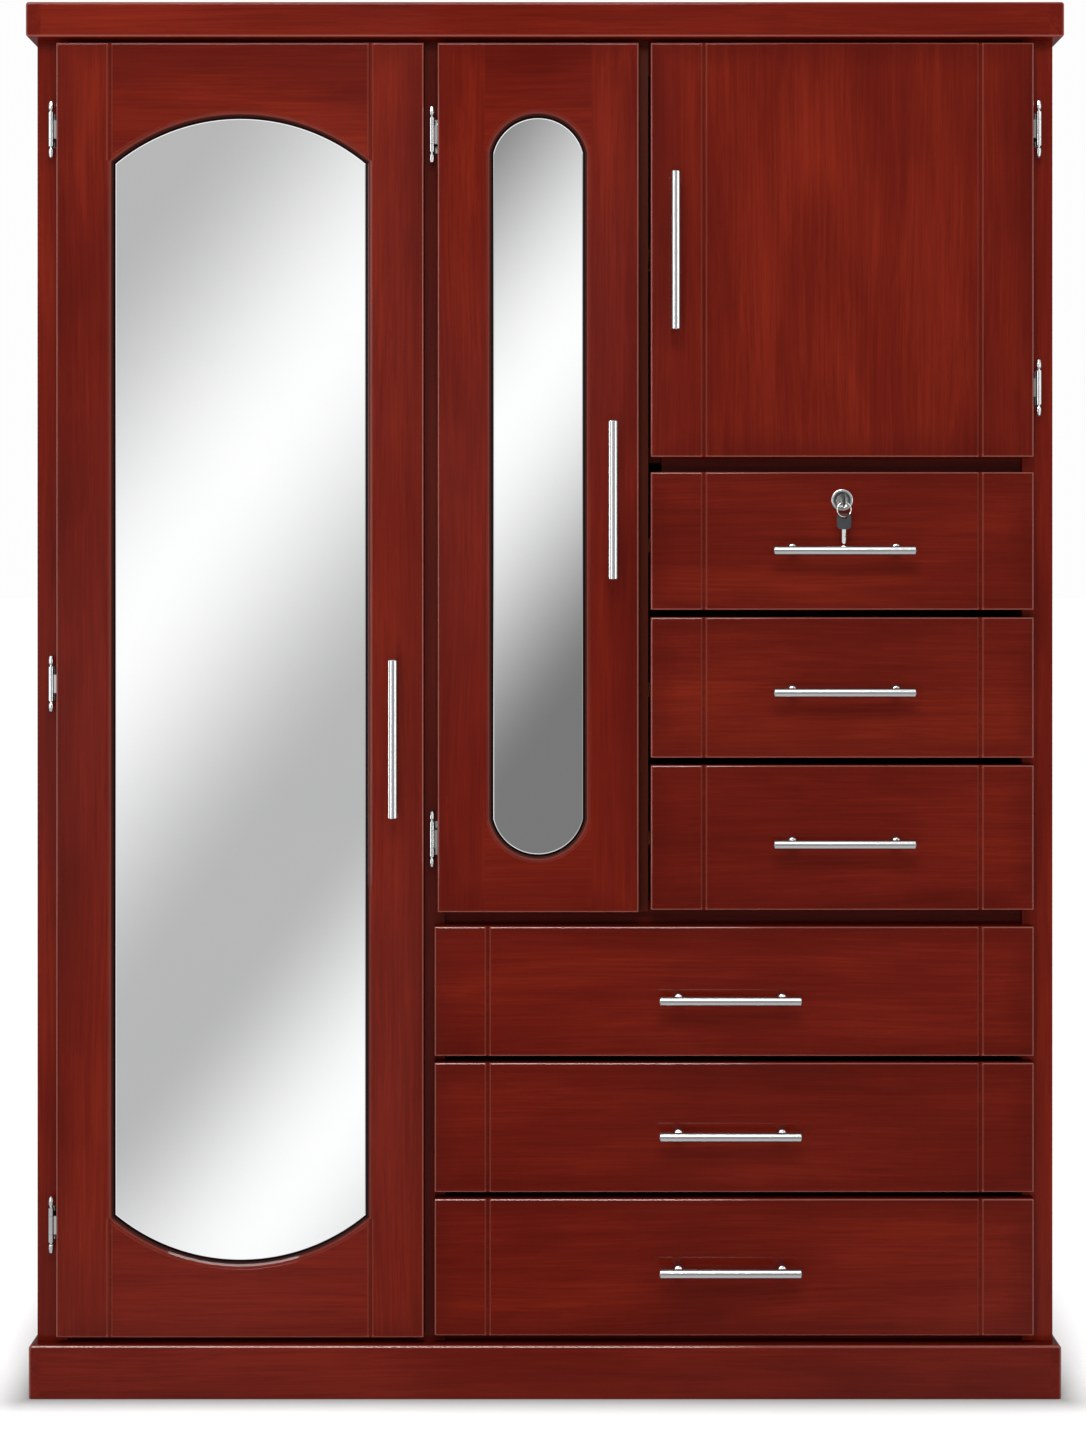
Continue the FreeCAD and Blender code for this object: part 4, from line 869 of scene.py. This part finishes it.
def socket_screws():
    """Two countersunk heads in each end socket of the hanging rail."""
    places = []
    for low, high in islands("rail_sockets"):
        inward = 1 if low.x < -0.4 else -1
        wall = low.x if inward > 0 else high.x
        for share in (0.16, 0.84):
            z = low.z + (high.z - low.z) * share
            hit, point, _, _ = nodes["rail_sockets"].ray_cast(
                Vector((wall + inward * 0.03, (low.y + high.y) / 2, z)),
                Vector((-inward, 0, 0)))
            if hit:
                places.append((point, Vector((inward, 0, 0))))
    if places:
        fasteners("rail_socket_screws", "carcass", "zinc_pins", zinc, places,
                  *SOCKET_SCREW, 41)


# ---- studio --------------------------------------------------------------------
FLOOR_RADIUS = 90.0
CONTACT_SHADE = 0.11          # how far the painted contact shadow round the plinth reaches


def pale_floor():
    """A pale floor that glows softly, with a painted contact shadow where the plinth meets it.
    """
    mesh = bmesh.new()
    bmesh.ops.create_circle(mesh, cap_ends=True, radius=FLOOR_RADIUS, segments=96)
    data = bpy.data.meshes.new("studio_floor")
    mesh.to_mesh(data)
    mesh.free()
    floor = bpy.data.objects.new("studio_floor", data)
    bpy.context.scene.collection.objects.link(floor)
    floor.location.z = -0.0005
    material, tree, shader, coords = new_material("pale studio floor")
    low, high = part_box("plinth")
    offset = put(tree, "ShaderNodeVectorMath", {0: coords, 1: (low + high) / 2},
                 operation="SUBTRACT").outputs[0]
    away = put(tree, "ShaderNodeVectorMath", {0: offset}, operation="ABSOLUTE").outputs[0]
    clear = put(tree, "ShaderNodeVectorMath", {0: away, 1: (high - low) / 2},
                operation="SUBTRACT").outputs[0]
    clear = put(tree, "ShaderNodeVectorMath", {0: clear, 1: (0.0, 0.0, 0.0)},
                operation="MAXIMUM").outputs[0]
    clear = put(tree, "ShaderNodeVectorMath", {0: clear, 1: (1.0, 1.0, 0.0)},
                operation="MULTIPLY").outputs[0]
    reach = put(tree, "ShaderNodeVectorMath", {0: clear}, operation="LENGTH").outputs["Value"]
    close = maths(tree, "POWER", remap(tree, reach, 0.0, CONTACT_SHADE, 1.0, 0.0), 2.0)
    tone = blend_colours(tree, noise(tree, coords, 3.0), (0.60, 0.60, 0.60, 1),
                         (0.61, 0.61, 0.61, 1))
    # painted shadow: darker and glowing less close round the plinth
    tone = blend_colours(tree, close, tone, (0.22, 0.215, 0.21, 1))
    glow = blend_colours(tree, close, (1.0, 1.0, 1.0, 1), (0.30, 0.30, 0.30, 1))
    tree.links.new(tone, shader.inputs["Base Color"])
    tree.links.new(glow, shader.inputs["Emission Color"])
    shader.inputs["Roughness"].default_value = 0.9
    shader.inputs["Specular IOR Level"].default_value = 0.0
    shader.inputs["Emission Strength"].default_value = 0.68
    data.materials.append(material)
    floor.visible_glossy = False


CAMERA_DISTANCE = 3.2         # in front of the doors
CAMERA_SIDE = -0.0026
CAMERA_HEIGHT = 1.086
CAMERA_LENS = 60.7
CAMERA_SHIFT = -0.1064
SCREEN_SLANT = 1.3            # how steeply the screens lean
SCREEN_BRIGHT = 1.04
LEFT_GLOOM = 0.50             # between the screens that the left mirror faces
MIDDLE_GLOOM = 0.20           # beside the screen that the middle mirror faces
UPPER_SCREEN = (-0.20, 0.16)  # where a screen's middle stands, and how far its light reaches
LOWER_SCREEN = (0.12, 0.12)
MIDDLE_SCREEN = (-0.08, 0.15)


def slanted_screen(tree, place, centre, reach, gloom):
    """A pale leaning screen, bright along its middle and fading to the gloom beside it."""
    away = maths(tree, "ABSOLUTE", maths(tree, "SUBTRACT", place, centre))
    return remap(tree, away, 0.0, reach, SCREEN_BRIGHT, gloom, True)


def studio_world():
    """Even soft light, with the bright diagonal screens that the mirrors face."""
    world = bpy.data.worlds.new("soft studio")
    bpy.context.scene.world = world
    world.use_nodes = True
    tree = world.node_tree
    tree.nodes.clear()
    direction = tree.nodes.new("ShaderNodeTexCoord").outputs["Generated"]
    parts = put(tree, "ShaderNodeSeparateXYZ", {0: direction}).outputs
    ahead = maths(tree, "MAXIMUM", maths(tree, "MULTIPLY", parts["Y"], -1.0), 0.05)
    across = maths(tree, "DIVIDE", parts["X"], ahead)
    up = maths(tree, "DIVIDE", parts["Z"], ahead)
    place = maths(tree, "SUBTRACT", maths(tree, "MULTIPLY", across, SCREEN_SLANT), up)
    upper = slanted_screen(tree, place, *UPPER_SCREEN, LEFT_GLOOM)
    lower = slanted_screen(tree, place, *LOWER_SCREEN, LEFT_GLOOM)
    left = maths(tree, "MAXIMUM", upper, lower)
    middle = slanted_screen(tree, place, *MIDDLE_SCREEN, MIDDLE_GLOOM)
    gap = (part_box("left_door_mirror")[1].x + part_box("middle_door_mirror")[0].x) / 2
    gap = (gap - CAMERA_SIDE) / CAMERA_DISTANCE
    beyond = (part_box("middle_door_mirror")[1].x - CAMERA_SIDE) / CAMERA_DISTANCE
    screens = blend_colours(tree, remap(tree, across, gap - 0.006, gap + 0.006), left, middle)
    screens = blend_colours(tree, remap(tree, across, beyond + 0.005, beyond + 0.04), screens,
                            (0.34, 0.34, 0.34, 1))
    near = remap(tree, ahead, 0.935, 0.96, 0.0, 1.0, True)
    height = remap(tree, parts["Z"], -0.2, 0.9, 0.0, 1.0, True)
    room = blend_colours(tree, height, (0.85, 0.85, 0.86, 1), (1.25, 1.25, 1.25, 1))
    shiny = blend_colours(tree, near, room, screens)
    soft = blend_colours(tree, height, (0.40, 0.40, 0.405, 1), (0.62, 0.62, 0.62, 1))
    rays = tree.nodes.new("ShaderNodeLightPath").outputs
    colour = blend_colours(tree, rays["Is Glossy Ray"], soft, shiny)
    colour = blend_colours(tree, rays["Is Camera Ray"], colour, (0.985, 0.985, 0.985, 1))
    background = put(tree, "ShaderNodeBackground", {"Color": colour, "Strength": 1.0})
    output = tree.nodes.new("ShaderNodeOutputWorld")
    tree.links.new(background.outputs[0], output.inputs[0])


def soft_box(name, place, target, width, height, watts, glint=False):
    """A rectangular lamp. A glint one gives highlights on arrises and metal, and only those."""
    data = bpy.data.lights.new(name, "AREA")
    data.shape = "RECTANGLE"
    data.size = width
    data.size_y = height
    data.energy = watts
    lamp = bpy.data.objects.new(name, data)
    lamp.location = place
    lamp.rotation_euler = (Vector(target) - Vector(place)).to_track_quat("-Z", "Y").to_euler()
    lamp.visible_camera = False
    lamp.visible_diffuse = not glint
    lamp.visible_glossy = glint
    bpy.context.scene.collection.objects.link(lamp)


def studio_lights():
    middle = (0.0, -0.2, 0.9)
    soft_box("key_light", (-0.1, -2.9, 3.1), middle, 1.8, 0.9, 88.0)
    soft_box("low_fill", (-0.6, -3.8, 0.5), middle, 1.6, 1.0, 48.0)
    soft_box("top_glint", (-0.7, -2.4, 3.4), middle, 2.6, 1.0, 260.0, True)
    soft_box("left_glint", (-3.0, -2.4, 1.3), middle, 0.8, 2.2, 40.0, True)
    soft_box("right_glint", (3.0, -2.4, 1.3), middle, 0.8, 2.2, 28.0, True)


def front_camera():
    data = bpy.data.cameras.new("front_camera")
    data.sensor_width = 36.0
    data.lens = CAMERA_LENS
    data.shift_y = CAMERA_SHIFT
    camera = bpy.data.objects.new("front_camera", data)
    camera.location = (CAMERA_SIDE, face_y - CAMERA_DISTANCE, CAMERA_HEIGHT)
    camera.rotation_euler = (math.radians(90), 0.0, 0.0)
    bpy.context.scene.collection.objects.link(camera)
    bpy.context.scene.camera = camera


front_camera()
studio_world()
studio_lights()
pale_floor()
dress_timber()
dress_fittings()
mirror_plate("left_mirror", "left_door_mirror", opening_of("left_door", LEFT_ARCH_RISE),
             "left_door")
mirror_plate("middle_mirror", "middle_door_mirror", opening_of("middle_door", MIDDLE_ARCH_RISE),
             "middle_door")
fastener_heads = fastener_tree()
handle_screws()
back_pins()
strike_plates()
socket_screws()
bpy.context.scene.view_settings.view_transform = "Standard"
